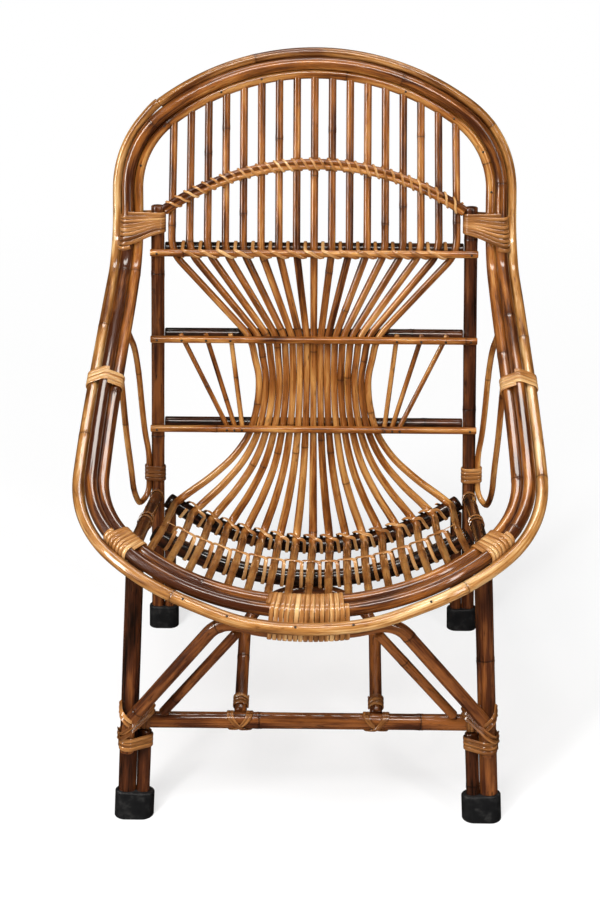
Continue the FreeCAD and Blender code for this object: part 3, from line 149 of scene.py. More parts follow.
class BackSizes(PropertyGroup):
    """Rear posts, back rails, back arch and fan sticks."""

    post_dia: thickness("Rear post", 0.020)
    foot_reach: span("Rear foot reach", "Rear feet behind the middle", 0.245)
    foot_half: span("Rear foot half width", "Half the distance between the rear feet", 0.249)
    post_rise: span("Post rise", "Height of a post above the shoulder", 0.067)
    post_lean: slope("Post lean", "Backward lean of a post", 4.144)
    post_splay: slope("Post splay", "Inward lean of a post", 1.328)
    front_rail_dia: thickness("Front rail", 0.011)
    rear_rail_dia: thickness("Rear rail", 0.018)
    middle_drop: span("Middle rail drop", "Middle rail below the upper rail", 0.134)
    lower_drop: span("Lower rail drop", "Lower rail below the upper rail", 0.277)
    arch_dia: thickness("Back arch cane", 0.008)
    arch_spread: span("Arch spread", "Half the distance between the two front canes of the arch", 0.0038)
    arch_rise: span("Arch rise", "Crown of the back arch above the upper rail", 0.130)
    arch_radius: span("Arch radius", "Radius of the back arch", 0.396)
    arch_half: span("Arch half span", "Half span of the back arch", 0.2235)
    stick_dia: thickness("Fan stick", 0.0075)
    stick_top: span("First stick top", "Place of the first fan stick on the middle rail", 0.126)
    stick_top_step: span("Stick top step", "Step between fan sticks on the middle rail", 0.037)
    stick_foot: span("First stick foot", "Place of the first fan stick on the lower rail", 0.110)
    stick_foot_step: span("Stick foot step", "Step between fan sticks on the lower rail", 0.0115)
    stick_overlap: span("Stick overlap", "How far a fan stick runs past its rails", 0.006)


class SpindleSizes(PropertyGroup):
    """The canes that run from the back arch through the waist and over the seat."""

    dia: thickness("Spindle", 0.0096)
    each_side: count("Spindles each side", "Spindles on each side of the middle one", 8)
    top_pitch: span("Top pitch", "Pitch at the rim's top", 0.026)
    upper_pitch: span("Upper pitch", "Pitch at the upper rail", 0.0262)
    waist_gap: span("Waist gap", "Gap between spindles at the waist", 0.00085)
    fan_pitch: span("Fan pitch", "Pitch at the lower rail", 0.0119)
    rear_pitch: span("Rear seat pitch", "Pitch on the rear bearer", 0.0272)
    front_pitch: span("Front seat pitch", "Pitch on the front bearer", 0.0269)
    end_pitch: span("Front end pitch", "Pitch at the rim's front", 0.0261)
    fan_curve: amount("Fan curve", "Power at which the fan spreads", 1.5)
    upper_bend: span("Upper bend", "Bend radius at the upper rail", 0.055)
    waist_bend: span("Waist bend", "Bend radius at the middle rail", 0.070)
    seat_bend: span("Seat bend", "Bend radius over the rear bearer", 0.022)
    seat_swell: amount("Seat swell", "How much thicker a spindle is drawn over the seat", 0.34)
    fan_swell: amount("Fan swell", "How much thicker a spindle is drawn in the fan above the seat", 0.20)
    upper_swell: amount("Upper swell", "How much thicker a spindle is drawn above the upper rail", 0.18)
    let_in: span("Let in", "Distance of a spindle's end from the axis of its rim cane", 0.003)


class SeatSizes(PropertyGroup):
    """Bearers, side rails and arm loops."""

    # Painted shade: part of the bearers' extra thickness, drawn near black, stands for the shade under the
    # slats.
    bearer_swell: amount("Bearer swell", "How much thicker a bearer is drawn", 0.36)
    bearer_dia: thickness("Seat bearer", 0.018)
    rear_height: span("Rear bearer height", "Lowest height of the rear bearer", 0.140)
    rear_radius: span("Rear bearer radius", "Radius of the rear bearer", 0.376)
    front_height: span("Front bearer height", "Lowest height of the front bearer", 0.229)
    front_radius: span("Front bearer radius", "Radius of the front bearer", 0.388)
    front_reach: span("Front bearer reach", "Front bearer ahead", 0.020)
    rail_dia: thickness("Side rail", 0.018)
    rail_rear_height: span("Side rail height", "Height of a side rail at its post", 0.225)
    rail_front_half: span("Side rail front", "Half width of the side rails at the rim", 0.226)
    loop_dia: thickness("Arm loop", 0.009)
    loop_upper_run: span("Loop upper run", "Upper end of a loop along the arm", 0.105)
    loop_lower_run: span("Loop lower run", "Lower end of a loop along the arm", 0.182)
    tie_height: span("Tie height", "Height at which a loop is tied to its post", 0.262)
    tie_angle: slope("Tie angle", "Side of the post on which the loop lies", 25.0)
    foot_height: span("Loop foot height", "Lowest point of a loop", 0.226)
    foot_ahead: span("Loop foot ahead", "How far that point lies ahead of the tie", 0.028)
    foot_out: span("Loop foot out", "How far that point lies outside the tie", 0.014)
    knee_rise: span("Loop knee rise", "Height of the knee above the tie", 0.080)
    knee_ahead: span("Loop knee ahead", "Knee ahead of the post", 0.014)
    knee_out: span("Loop knee out", "Knee outside the post", 0.020)


class FrontSizes(PropertyGroup):
    """Front legs, doublers, stretcher, arch brace, diagonals and seat prop."""

    leg_dia: thickness("Front leg", 0.024)
    doubler_dia: thickness("Doubler", 0.018)
    foot_reach: span("Front foot reach", "Front feet ahead of the middle", 0.277)
    foot_half: span("Front foot half width", "Half the distance between the front feet", 0.246)
    top_reach: span("Leg top reach", "Leg tops ahead of the middle", 0.211)
    stretcher_dia: thickness("Stretcher", 0.022)
    stretcher_height: span("Stretcher height", "Height of the stretcher", 0.134)
    brace_dia: thickness("Arch brace", 0.018)
    brace_end: span("Brace end", "Height of the brace's ends", 0.096)
    brace_turn: span("Brace turn", "Height at which the brace leaves the leg", 0.138)
    brace_turn_bend: span("Brace turn bend", "Bend radius there", 0.045)
    brace_top_half: span("Brace top half", "Half width at which the brace meets the rim", 0.112)
    brace_top_bend: span("Brace top bend", "Bend radius there", 0.060)
    brace_drop: span("Brace drop", "Brace under the middle cane", 0.0246)
    brace_ahead: span("Brace ahead", "Brace ahead of the hoop", 0.0204)
    diagonal_dia: thickness("Diagonal", 0.013)
    diagonal_foot: span("Diagonal foot", "Half width of the diagonals at the stretcher", 0.203)
    diagonal_top: span("Diagonal top", "Half width of the diagonals at the brace", 0.082)
    prop_dia: thickness("Seat prop", 0.017)
    prop_half: span("Prop half width", "Half width of the seat prop", 0.091)


class BindingSizes(PropertyGroup):
    """Flat strips of peeled cane, wound round bundles and along rails."""

    width: span("Strip width", "Width of a binding strip", 0.0058)
    thick: span("Strip thickness", "Thickness of a binding strip", 0.0019)
    lash_width: span("Lashing width", "Width of a lashing strip", 0.0052)
    lash_thick: span("Lashing thickness", "Thickness of a lashing strip", 0.0017)
    pitch: span("Pitch", "Advance of a binding in one turn", 0.0062)
    shoulder_turns: count("Shoulder turns", "Turns round post and hoop", 8)
    shoulder_drop: span("Shoulder drop", "Middle of that binding below the post's top", 0.035)
    shoulder_fan: amount("Shoulder fan", "How much that binding narrows towards the post", 0.42)
    arm_turns: count("Arm turns", "Turns round the three canes of an arm", 4)
    arm_run: span("Arm run", "Place of that binding along the arm", 0.217)
    corner_turns: count("Corner turns", "Turns at a front corner", 7)
    corner_half: span("Corner half width", "Place of that binding", 0.232)
    front_turns: count("Front turns", "Turns in the middle of the front", 16)
    leg_turns: count("Leg turns", "Turns round leg, doubler and brace", 3)
    leg_height: span("Leg binding height", "Height at which they start", 0.099)
    tie_turns: count("Tie turns", "Turns round post and arm loop", 4)
    prop_turns: count("Prop turns", "Turns round the foot of the seat prop", 3)
    prop_start: span("Prop start", "Where they start above the foot", 0.012)
    lashed_each_side: count("Lashed each side", "Crossings lashed on each side of the middle", 7)


class Finishes(PropertyGroup):
    """Colours of the varnished canes, bindings, rubber and nails."""

    honey_dark: colour("Honey, dark", "Burnt parts of the honey canes", 0.055, 0.013, 0.003)
    honey_mid: colour("Honey, middle", "Main colour of the honey canes", 0.310, 0.098, 0.016)
    honey_pale: colour("Honey, pale", "Pale parts of the honey canes", 0.640, 0.310, 0.085)
    brown_dark: colour("Brown, dark", "Burnt parts of the brown canes", 0.008, 0.003, 0.0015)
    brown_mid: colour("Brown, middle", "Main colour of the brown canes", 0.080, 0.021, 0.006)
    brown_pale: colour("Brown, pale", "Pale parts of the brown canes", 0.260, 0.082, 0.018)
    # The straw colours are the outer rim cane's: partly its own tone, partly painted light from above.
    straw_dark: colour("Straw, dark", "Burnt parts of the straw canes", 0.110, 0.032, 0.006)
    straw_mid: colour("Straw, middle", "Main colour of the straw canes", 0.430, 0.185, 0.045)
    straw_pale: colour("Straw, pale", "Pale parts of the straw canes", 0.800, 0.540, 0.250)
    strip_dark: colour("Strip, dark", "Dark parts of the binding strips", 0.130, 0.042, 0.010)
    strip_mid: colour("Strip, middle", "Main colour of the binding strips", 0.430, 0.180, 0.048)
    strip_pale: colour("Strip, pale", "Pale parts of the binding strips", 0.740, 0.450, 0.190)
    rubber: colour("Rubber", "Colour of the feet", 0.006, 0.006, 0.0065)
    rubber_worn: colour("Rubber, worn", "Scuffed parts of the feet", 0.026, 0.025, 0.024)
    nail: colour("Nail", "Colour of the nail heads", 0.040, 0.028, 0.022)
    nail_worn: colour("Nail, worn", "Rubbed parts of the nail heads", 0.150, 0.110, 0.085)


class StageSettings(PropertyGroup):
    """Floor, light and camera."""

    floor: colour("Floor", "Colour of the floor", 0.95, 0.95, 0.95)
    ambient: amount("Ambient light", "Light from all round", 0.12)
    sun: amount("Main light", "Even light from the upper front", 2.45)
    key: power("Key light", "Narrow light from the upper left", 46.0)
    fill: power("Fill light", "Narrow light from the right", 26.0)
    place: FloatVectorProperty(
        name="Camera place", description="Where the camera stands", unit="LENGTH",
        default=(0.030, -2.374, 1.470),
    )
    pitch: slope("Camera pitch", "How far the camera looks down", 23.9)
    yaw: slope("Camera yaw", "How far the camera looks to the left", 1.1)
    lens: FloatProperty(name="Lens", description="Focal length", default=74.16, unit="CAMERA")


class ChairSettings(PropertyGroup):
    """All settings of the chair."""

    rim: PointerProperty(type=RimSizes)
    back: PointerProperty(type=BackSizes)
    spindles: PointerProperty(type=SpindleSizes)
    seat: PointerProperty(type=SeatSizes)
    front: PointerProperty(type=FrontSizes)
    bindings: PointerProperty(type=BindingSizes)
    finishes: PointerProperty(type=Finishes)
    stage: PointerProperty(type=StageSettings)


# Small vector helpers.


def vec(x, y, z):
    return np.array((x, y, z), float)


def norm(v):
    return np.linalg.norm(v, axis=-1, keepdims=True)


def size(v):
    """Length of one vector."""
    return float(norm(v)[0])


def unit(v):
    return v / norm(v)


def square(v, way):
    """Direction of the part of a vector that is square to a way."""
    return unit(v - way * float(v @ way))


def mirrored(points):
    """The same points on the other side of the chair."""
    return np.asarray(points) * (-1, 1, 1)


def dots(a, b):
    """Dot products of two rows of vectors."""
    return np.sum(a * b, axis=-1, keepdims=True)


def angle_between(a, b):
    return math.acos(float(np.clip(unit(a) @ unit(b), -1, 1)))


def smooth(x):
    """A smooth step from 0 to 1."""
    x = np.clip(x, 0, 1)
    return x * x * (3 - 2 * x)


def travelled(path):
    """Length along a path at each of its points."""
    return np.concatenate(([0], np.cumsum(norm(np.diff(path, axis=0)).ravel())))


def pick(path, run, places):
    """Rows of a path at given lengths along it, in straight lines between its points."""
    return np.stack([np.interp(places, run, path[:, k]) for k in range(path.shape[1])], axis=1)


def chained(runs):
    """Runs joined end to end, their shared points once."""
    return np.concatenate([runs[0]] + [run[1:] for run in runs[1:]])


def touching(one_dia, other_dia):
    """Distance between the axes of two canes side by side."""
    return (one_dia + other_dia) / 2 + FIT


def at_height(start, way, height):
    """The point of a straight cane at a height."""
    return start + way * ((height - start[2]) / way[2])


# Paths: nodes (point, direction) joined by pairs of tangent arcs.


def arc(start, way, end, steps):
    """A circular arc as a rational curve: ends weigh 1, the corner of their tangents weighs the
    cosine of half the turn."""
    chord = end - start
    weight = float(unit(chord) @ way)
    corner = start + way * (size(chord) / 2 / weight)
    t = np.linspace(0, 1, steps)[:, None]
    parts = ((1 - t) ** 2, 2 * weight * t * (1 - t), t * t)
    return (parts[0] * start + parts[1] * corner + parts[2] * end) / sum(parts)


def arc_pair(node, following):
    """Two arcs that leave one node and reach the next in their directions, with no kink between."""
    (p, a), (q, b) = node, following
    v, t = q - p, a + b
    spread = 2 * (1 - float(a @ b))
    if spread < 1e-9:
        reach = float(v @ v) / (4 * float(v @ a))
    else:
        reach = (-float(v @ t) + math.sqrt(float(v @ t) ** 2 + spread * float(v @ v))) / spread
    joint = (p + a * reach + q - b * reach) * 0.5
    steps = max(3, int(size(v) / PATH_STEP / 2) + 2)
    return chained((arc(p, a, joint, steps), arc(q, -b, joint, steps)[::-1]))


def bent_path(nodes):
    """A path through nodes, sampled closely."""
    return chained([arc_pair(a, b) for a, b in zip(nodes, nodes[1:])])


def followed(nodes):
    """The path through nodes (point, direction, centre), and the centre that it turns round."""
    rows = []
    for (*a, centre), (*b, following) in zip(nodes, nodes[1:]):
        run = arc_pair(a, b)
        share = (travelled(run) / travelled(run)[-1])[:, None]
        rows.append(np.concatenate((run, centre * (1 - share) + following * share), axis=1))
    rows = chained(rows)
    return rows[:, :3], rows[:, 3:]


def corner_cut(before, corner, after, bend):
    """How much of both runs a rounded corner takes, at most a little under half of the shorter."""
    run_in, run_out = corner - before, after - corner
    cut = bend * math.tan(angle_between(run_in, run_out) / 2)
    return min(cut, MOST_CUT * min(size(run_in), size(run_out)))


def corner_inside(before, corner, after, bend):
    """Direction to the inside of a rounded corner, and how far its bend passes from the corner."""
    run_in, run_out = unit(corner - before), unit(after - corner)
    half_turn = angle_between(run_in, run_out) / 2
    if half_turn < 1e-6:
        return UP, 0
    reach = corner_cut(before, corner, after, bend) / math.tan(half_turn)
    return unit(run_out - run_in), reach * (1 / math.cos(half_turn) - 1)


def rounded_corner(point, before, after, bend):
    """The corner whose rounded bend passes through the point."""
    corner = point
    for _ in range(BEND_TRIES):
        inside, off = corner_inside(before, corner, after, bend)
        corner = point - inside * off
    return corner


def route(points):
    """Nodes for a route of (point, bend): a rounded corner of that radius, or a smooth pass if 0."""
    nodes = [(points[0][0], unit(points[1][0] - points[0][0]))]
    for (before, _), (p, bend), (after, _) in zip(points, points[1:], points[2:]):
        cut = corner_cut(before, p, after, bend)
        if cut < 1e-6:
            nodes.append((p, unit(after - before)))
        else:
            nodes.append((p - unit(p - before) * cut, unit(p - before)))
            nodes.append((p + unit(after - p) * cut, unit(after - p)))
    return nodes + [(points[-1][0], unit(points[-1][0] - points[-2][0]))]


def butt(own_dia, way, other_dia, other_way, skin=0):
    """How far before the other cane's axis a square-cut cane end stops."""
    cosine = abs(float(way @ other_way))
    off = other_dia / 2 + skin + BUTT_FIT + own_dia / 2 * cosine
    return off / math.sqrt(1 - cosine * cosine)


def wide_arc(half, rise, corner):
    """Radius of the wide arc of a three-centred arch, and the angle over which it runs."""
    wide = ((half - corner) ** 2 + rise * rise - corner * corner) / (2 * (rise - corner))
    return wide, math.atan2(half - corner, wide - rise)


def three_centred(half, rise, corner, length):
    """Place (across, down) and turn on half of a three-centred arch: a wide arc from the crown, then
    a corner arc, at a length from the crown."""
    wide, angle = wide_arc(half, rise, corner)
    turn = np.where(length <= wide * angle, length / wide, angle + (length - wide * angle) / corner)
    first = np.minimum(turn, angle)
    radius = np.where(turn <= angle, wide, corner)
    across = (wide - radius) * np.sin(first) + radius * np.sin(turn)
    return across, wide - (wide - radius) * np.cos(first) - radius * np.cos(turn), turn


def arch_lengths(half, rise, corner):
    """Lengths of the wide arc and of the corner arc of such an arch."""
    wide, angle = wide_arc(half, rise, corner)
    return wide * angle, corner * (math.pi / 2 - angle)


class Layout:
    """Where every cane runs, worked out from the sizes. Metres, +Z up, the sitter faces -Y."""

    def __init__(self):
        chair = bpy.context.scene.bamboo_chair
        self.rim, self.back, self.spindle = chair.rim, chair.back, chair.spindles
        self.seat, self.front, self.wrap = chair.seat, chair.front, chair.bindings
        self.post_way = unit(self.post(1) - self.post(0))
        self.lay_profile()
        self.lay_outline()
        self.lay_frame()

    # Rear posts and the planes of the back.

    def post(self, height):
        """Axis of the right rear post at a height."""
        b = self.back
        inwards, backwards = height * math.tan(b.post_splay), height * math.tan(b.post_lean)
        return vec(b.foot_half - inwards, b.foot_reach + backwards, height)

    def front_rail_depth(self, height):
        return self.post(height)[1] - touching(self.back.post_dia, self.back.front_rail_dia)

    def behind(self, rail_dia):
        """Depth from a back rail to the spindles, square to the leaning back."""
        return touching(rail_dia, self.spindle.dia) / math.cos(self.rim.lean)

    def back_plane(self, height):
        """Depth of the spindles."""
        return self.front_rail_depth(height) + self.behind(self.back.front_rail_dia)

    def rear_rail_depth(self, height):
        return self.back_plane(height) + self.behind(self.back.rear_rail_dia)

    def rail_height(self, name):
        drops = (0, self.back.middle_drop, self.back.lower_drop)
        return self.rim.shoulder_height - drops[RAILS.index(name)]

    # The hoop: an outline of arcs on an unrolled side profile.

    def lay_profile(self):
        """Side profile of the hoop: a leaning back line, a bend and a line to the seat front."""
        rim = self.rim
        foot, base = rim.shoulder_height, self.back_plane(rim.shoulder_height)
        self.top = vec(0, base + (rim.top_height - foot) * math.tan(rim.lean), rim.top_height)
        corner = vec(0, base, foot)
        front = vec(0, -rim.front_reach, rim.front_height)
        self.down, self.ahead = unit(corner - self.top), unit(front - corner)
        turn = angle_between(self.down, self.ahead)
        self.inward = square(self.ahead, self.down)
        cut = rim.shoulder_bend * math.tan(turn / 2)
        self.back_run = size(corner - self.top) - cut
        self.bend_run = rim.shoulder_bend * turn
        self.profile_length = self.back_run + self.bend_run + size(front - corner) - cut

    def profile(self, drop):
        """Points and directions of the side profile at lengths from its top: the run down the back,
        plus the turned part of the bend, plus the run along the arm."""
        bend = self.rim.shoulder_bend
        turn = np.clip((drop - self.back_run) / bend, 0, self.bend_run / bend)[:, None]
        place = self.top + self.down * np.minimum(drop, self.back_run)[:, None]
        place = place + (self.down * np.sin(turn) + self.inward * (1 - np.cos(turn))) * bend
        place = place + self.ahead * np.maximum(drop - self.back_run - self.bend_run, 0)[:, None]
        return place, self.down * np.cos(turn) + self.inward * np.sin(turn)

    def lay_outline(self):
        """Lengths of the outline's pieces, and the places of the rim canes in their bundle: facing and
        outward along back and arms, then facing and outward at the front."""
        rim = self.rim
        self.top_arc, top_corner = arch_lengths(rim.back_half, rim.crown_rise, rim.crown_corner)
        low_arc, low_corner = arch_lengths(rim.arm_half, rim.front_bow, rim.front_corner)
        self.side_start = self.top_arc + top_corner
        self.side_run = self.profile_length - rim.crown_rise - rim.front_bow
        self.side_end = self.side_start + self.side_run
        self.half = self.side_end + low_corner + low_arc
        forward = rim.middle_forward
        reach = touching(rim.middle_dia, rim.inner_dia)
        out = (rim.middle_dia + rim.outer_dia) / 2 + rim.outer_gap
        low = (rim.middle_dia + rim.outer_dia) / 2 + rim.outer_front_gap
        inner = -math.sqrt(reach * reach - forward * forward)
        front_out = math.sqrt(low * low - (rim.outer_front_lift - forward) ** 2)
        self.middle = (forward, 0) * 2
        self.inner = (0, inner) * 2
        self.outer = (0, math.sqrt(out * out - forward * forward), rim.outer_front_lift, front_out)
        self.brace = (forward - self.front.brace_drop, self.front.brace_ahead) * 2
        s = np.linspace(0, self.half, 4001)
        self.bend_end = float(np.interp(self.back_run + self.bend_run, self.outline(s)[1], s))

    def outline(self, s):
        """Half width, length down the profile and their rates at lengths along the half outline: a
        three-centred arch, a side that flares by a smooth step, and a three-centred bow."""
        rim = self.rim
        crown = np.minimum(s, self.side_start)
        bow = np.minimum(self.half - s, self.half - self.side_end)
        top = three_centred(rim.back_half, rim.crown_rise, rim.crown_corner, crown)
        low = three_centred(rim.arm_half, rim.front_bow, rim.front_corner, bow)
        share = np.clip((s - self.side_start) / self.side_run, 0, 1)
        flare = rim.arm_half - rim.back_half

        def choose(upper, side, lower):
            return np.where(s <= self.side_start, upper, np.where(s <= self.side_end, side, lower))

        return (
            choose(top[0], rim.back_half + flare * smooth(share), low[0]),
            choose(top[1], rim.crown_rise + self.side_run * share, self.profile_length - low[1]),
            choose(np.cos(top[2]), 6 * flare * share * (1 - share) / self.side_run, -np.cos(low[2])),
            choose(np.sin(top[2]), 1, np.sin(low[2])),
        )

    def wrapped(self, t):
        """Lengths along the closed hoop, brought between its ends in the middle of the front."""
        return (np.atleast_1d(np.asarray(t, float)) + self.half) % (2 * self.half) - self.half

    def hoop(self, t):
        """Place, way, facing, outward and front share of the hoop at lengths from its top, negative on
        the left. The bundle rolls as the front share grows from 0 on the arms to 1 in the middle."""
        t = self.wrapped(t)
        side, one = np.where(t < 0, -1, 1), np.ones_like(t)
        across, drop, across_rate, drop_rate = self.outline(np.abs(t))
        place, fall = self.profile(drop)
        place[:, 0] = across
        way = unit(np.stack((across_rate, fall[:, 1] * drop_rate, fall[:, 2] * drop_rate), axis=1))
        facing = np.stack((0 * across, fall[:, 2], -fall[:, 1]), axis=1)
        outward = np.cross(facing, way)
        bow = self.rim.front_bow
        share = np.maximum(0, (drop - self.profile_length + bow) / bow)
        roll = (self.rim.front_roll * share)[:, None]
        face = facing * np.cos(roll) + outward * np.sin(roll)
        out = outward * np.cos(roll) - facing * np.sin(roll)
        flip, along = np.stack((side, one, one), axis=1), np.stack((one, side, side), axis=1)
        return place * flip, way * along, face * flip, out * flip, smooth(share)

    def on_hoop(self, t, offset):
        """Points of a rim cane: the hoop plus its place in the bundle, which eases at the front."""
        place, _, facing, outward, ease = self.hoop(t)
        ease = ease[:, None]
        face = offset[0] + (offset[2] - offset[0]) * ease
        out = offset[1] + (offset[3] - offset[1]) * ease
        return place + facing * face + outward * out

    def drawn(self, dia, t):
        """Drawn diameter of the outer or inner cane: thicker along arms and front than at the crown."""
        run = np.abs(self.wrapped(t)) / self.half
        return dia * (1 + self.rim.arm_swell * smooth((run - SWELL_START) / SWELL_RUN))

    def outer_line(self, t):
        """The outer cane: drawn in against the middle cane, with a strip's room at the shoulder bindings
        and round the front, and left wide over the front binding, with smooth steps between."""
        rim, wrap = self.rim, self.wrap
        run = np.abs(self.wrapped(t))
        post = self.post_top - self.post_way * wrap.shoulder_drop
        table = np.linspace(0, self.side_end, 2001)
        shoulder = table[norm(self.on_hoop(table, self.middle) - post)[:, 0].argmin()]
        away = smooth((np.abs(run - shoulder) - SHOULDER_HALF) / SHOULDER_EASE)
        bound = wrap.front_turns * wrap.pitch / 2
        free = smooth((self.half - run - bound - FRONT_FREE) / FRONT_EASE)
        bow = smooth((run - self.side_end + BOW_EASE) / BOW_EASE)
        room = rim.outer_room + (rim.bow_room - rim.outer_room) * np.maximum(bow, 1 - away)
        line, middle = self.on_hoop(t, self.outer), self.on_hoop(t, self.middle)
        apart = (rim.middle_dia + self.drawn(rim.outer_dia, t)) / 2 + room
        over = np.maximum(norm(line - middle)[:, 0] - apart, 0)
        return line - unit(line - middle) * (over * free)[:, None]

    def hoop_node(self, t, offset):
        """Point and direction of a rim cane on the right half of the hoop."""
        low, high = max(0, t - NEAR), min(self.half, t + NEAR)
        before, here, after = self.on_hoop((low, t, high), offset)
        rate = after - before
        if low == 0 or high == self.half:
            rate = rate * ACROSS
        return here, unit(rate)

    def hoop_at_half(self, half, offset, front=True):
        """Length along the hoop at which a rim cane has a half width, at the front or at the top."""
        ends = (self.half, self.side_end) if front else (0, self.side_start)
        s = np.linspace(*ends, 3001)
        s[s == self.half] -= 1e-9
        return float(np.interp(half, self.on_hoop(s, offset)[:, 0], s))

    def node_at_half(self, half, offset, front=True):
        return self.hoop_node(self.hoop_at_half(half, offset, front), offset)

    # Straight canes of the frame.

    def lay_frame(self):
        """Ends and ways of side rails, legs and posts, the steps to their doublers, and the bearers'
        drawn thickness, which grows downwards."""
        seat, front, back = self.seat, self.front, self.back
        post = self.post(seat.rail_rear_height)
        target, way = self.node_at_half(seat.rail_front_half, self.inner)
        run = unit(target - post)
        self.rail_rear = post + run * butt(seat.rail_dia, run, back.post_dia, self.post_way)
        self.rail_front = target - run * butt(seat.rail_dia, run, self.rim.inner_dia, way, STRIP_ROOM)
        self.rail_way = unit(self.rail_front - self.rail_rear)
        foot = vec(front.foot_half, -front.foot_reach, 0)
        target = self.rail_at(-front.top_reach)
        self.leg_way = unit(target - foot)
        stop = butt(front.leg_dia, self.leg_way, seat.rail_dia, self.rail_way)
        self.leg_top = target - self.leg_way * stop
        self.leg_foot = at_height(foot, self.leg_way, CAP_FLOOR + FIT)
        self.post_foot = at_height(self.post(0), self.post_way, CAP_FLOOR + FIT)
        self.post_top = self.post(self.rim.shoulder_height + back.post_rise)
        self.leg_step = square(-ACROSS, self.leg_way) * touching(front.leg_dia, front.doubler_dia)
        self.post_step = square(-ACROSS, self.post_way) * touching(back.post_dia, front.doubler_dia)
        self.joint = self.leg_at(front.stretcher_height)
        self.bearer_drawn = seat.bearer_dia * (1 + seat.bearer_swell)
        self.bearer_sink = UP * (seat.bearer_dia * seat.bearer_swell / 2)

    def rail_at(self, depth):
        rear, front = self.rail_rear, self.rail_front
        return rear + (front - rear) * ((depth - rear[1]) / (front[1] - rear[1]))

    def leg_at(self, height):
        return at_height(self.leg_foot, self.leg_way, height)

    def on_stretcher(self, across):
        return vec(across, self.joint[1], self.joint[2])

    def fan_stick(self, k):
        """Upper and lower end of the right fan stick k on its rails."""
        b, high, low = self.back, self.rail_height("middle"), self.rail_height("lower")
        back = touching(b.front_rail_dia, b.stick_dia)
        top = vec(b.stick_top + k * b.stick_top_step, self.front_rail_depth(high) + back, high)
        return top, vec(b.stick_foot + k * b.stick_foot_step, self.front_rail_depth(low) + back, low)

    def nail_seats(self, name):
        """Right-hand nail places on a front rail: at the post and at each fan stick."""
        height = self.rail_height(name)
        places = [self.post(height)[0]]
        if name != "upper":
            places += [self.fan_stick(k)[int(name == "lower")][0] for k in range(FAN_STICKS)]
        depth = self.front_rail_depth(height) - self.back.front_rail_dia / 2
        return [vec(x, depth, height) for x in places]

    # Bent canes.

    def bearer(self, name, across):
        """Place and way of a seat bearer, a sagging circle, at a place across."""
        seat = self.seat
        depth, low, r = -seat.front_reach, seat.front_height, seat.front_radius
        if name == "rear":
            depth, low, r = self.post(seat.rail_rear_height)[1], seat.rear_height, seat.rear_radius
        flat = math.sqrt(r * r - across * across)
        return vec(across, depth, low + r - flat), vec(flat, 0, across) / r

    def bearer_end(self, name):
        """Half span of a bearer: the rear one butts against the posts, the front one against the rails."""
        seat, back = self.seat, self.back
        if name == "front":
            way = self.bearer(name, seat.rail_front_half)[1]
            stop = butt(seat.bearer_dia, way, seat.rail_dia, self.rail_way)
            return self.rail_at(-seat.front_reach)[0] - stop
        end = back.foot_half
        for _ in range(PLACE_TRIES):
            place, way = self.bearer(name, end)
            stop = butt(seat.bearer_dia, way, back.post_dia, self.post_way)
            end = self.post(place[2])[0] - stop * way[0]
        return end

    def arch_frame(self, across):
        """Place, way and facing of the back arch, a circle in the plane of the upper spindles."""
        lean, bend = self.rim.lean, self.back.arch_radius
        rise = vec(0, math.sin(lean), math.cos(lean))
        height = self.rail_height("upper")
        foot = vec(across, self.back_plane(height), height)
        flat = math.sqrt(bend * bend - across * across)
        place = foot + rise * (self.back.arch_rise - bend + flat)
        return place, (ACROSS * flat - rise * across) / bend, vec(0, -math.cos(lean), math.sin(lean))

    def arch_shift(self):
        return (self.spindle.dia + self.back.arch_dia) / 2 + ARCH_FIT

    def brace_nodes(self):
        """The arch brace: up the fronts of both legs, inwards, and along the rim's underside."""
        front = self.front
        step = square(AHEAD, self.leg_way) * touching(front.leg_dia, front.brace_dia)
        station = self.hoop_at_half(front.brace_top_half, self.brace)
        flat = self.hoop_node((station + self.half) / 2, self.brace)
        rising = route([
            (self.leg_at(front.brace_end) + step, 0),
            (self.leg_at(front.brace_turn) + step, front.brace_turn_bend),
            (self.hoop_node(station, self.brace)[0], front.brace_top_bend),
            (flat[0], 0),
        ])
        right = rising[:-1] + [flat, self.hoop_node(self.half, self.brace)]
        return right + [(mirrored(p), -mirrored(t)) for p, t in reversed(right[:-1])]

    def prop_axis(self):
        """Foot, start of the bend, crown and way of the seat prop, and half its width."""
        front, seat = self.front, self.seat
        drop = touching(seat.bearer_dia, front.prop_dia) + STRIP_ROOM
        top, foot = vec(0, -seat.front_reach, seat.front_height - drop), self.on_stretcher(0)
        way = unit(top - foot)
        start = foot + way * butt(front.prop_dia, way, front.stretcher_dia, ACROSS)
        return start, top - way * front.prop_half, top, way, ACROSS * front.prop_half

    def prop_nodes(self):
        start, bend, top, way, half = self.prop_axis()
        rising = [(start + half, way), (bend + half, way)]
        return rising + [(top, -ACROSS), (bend - half, -way), (start - half, -way)]

    def spindle_at(self, across, height):
        return vec(across, self.back_plane(height), height)

    def mid_places(self):
        """Half places of the spindles at the middle rail, spread so that slanting neighbours clear."""
        pitch = self.spindle.dia + self.spindle.waist_gap
        places = [0]
        for k in range(1, self.spindle.each_side + 1):
            across = places[-1] + pitch
            for _ in range(PLACE_TRIES):
                slant = math.atan((k * self.spindle.upper_pitch - across) / self.back.middle_drop)
                across = places[-1] + pitch / math.cos(slant)
            places.append(across)
        return places

    def fan_point(self, lower, rear, share):
        """A place between lower rail and rear bearer, spreading as a power of the drop."""
        return lower + (rear - lower) * (share**self.spindle.fan_curve, share, share)

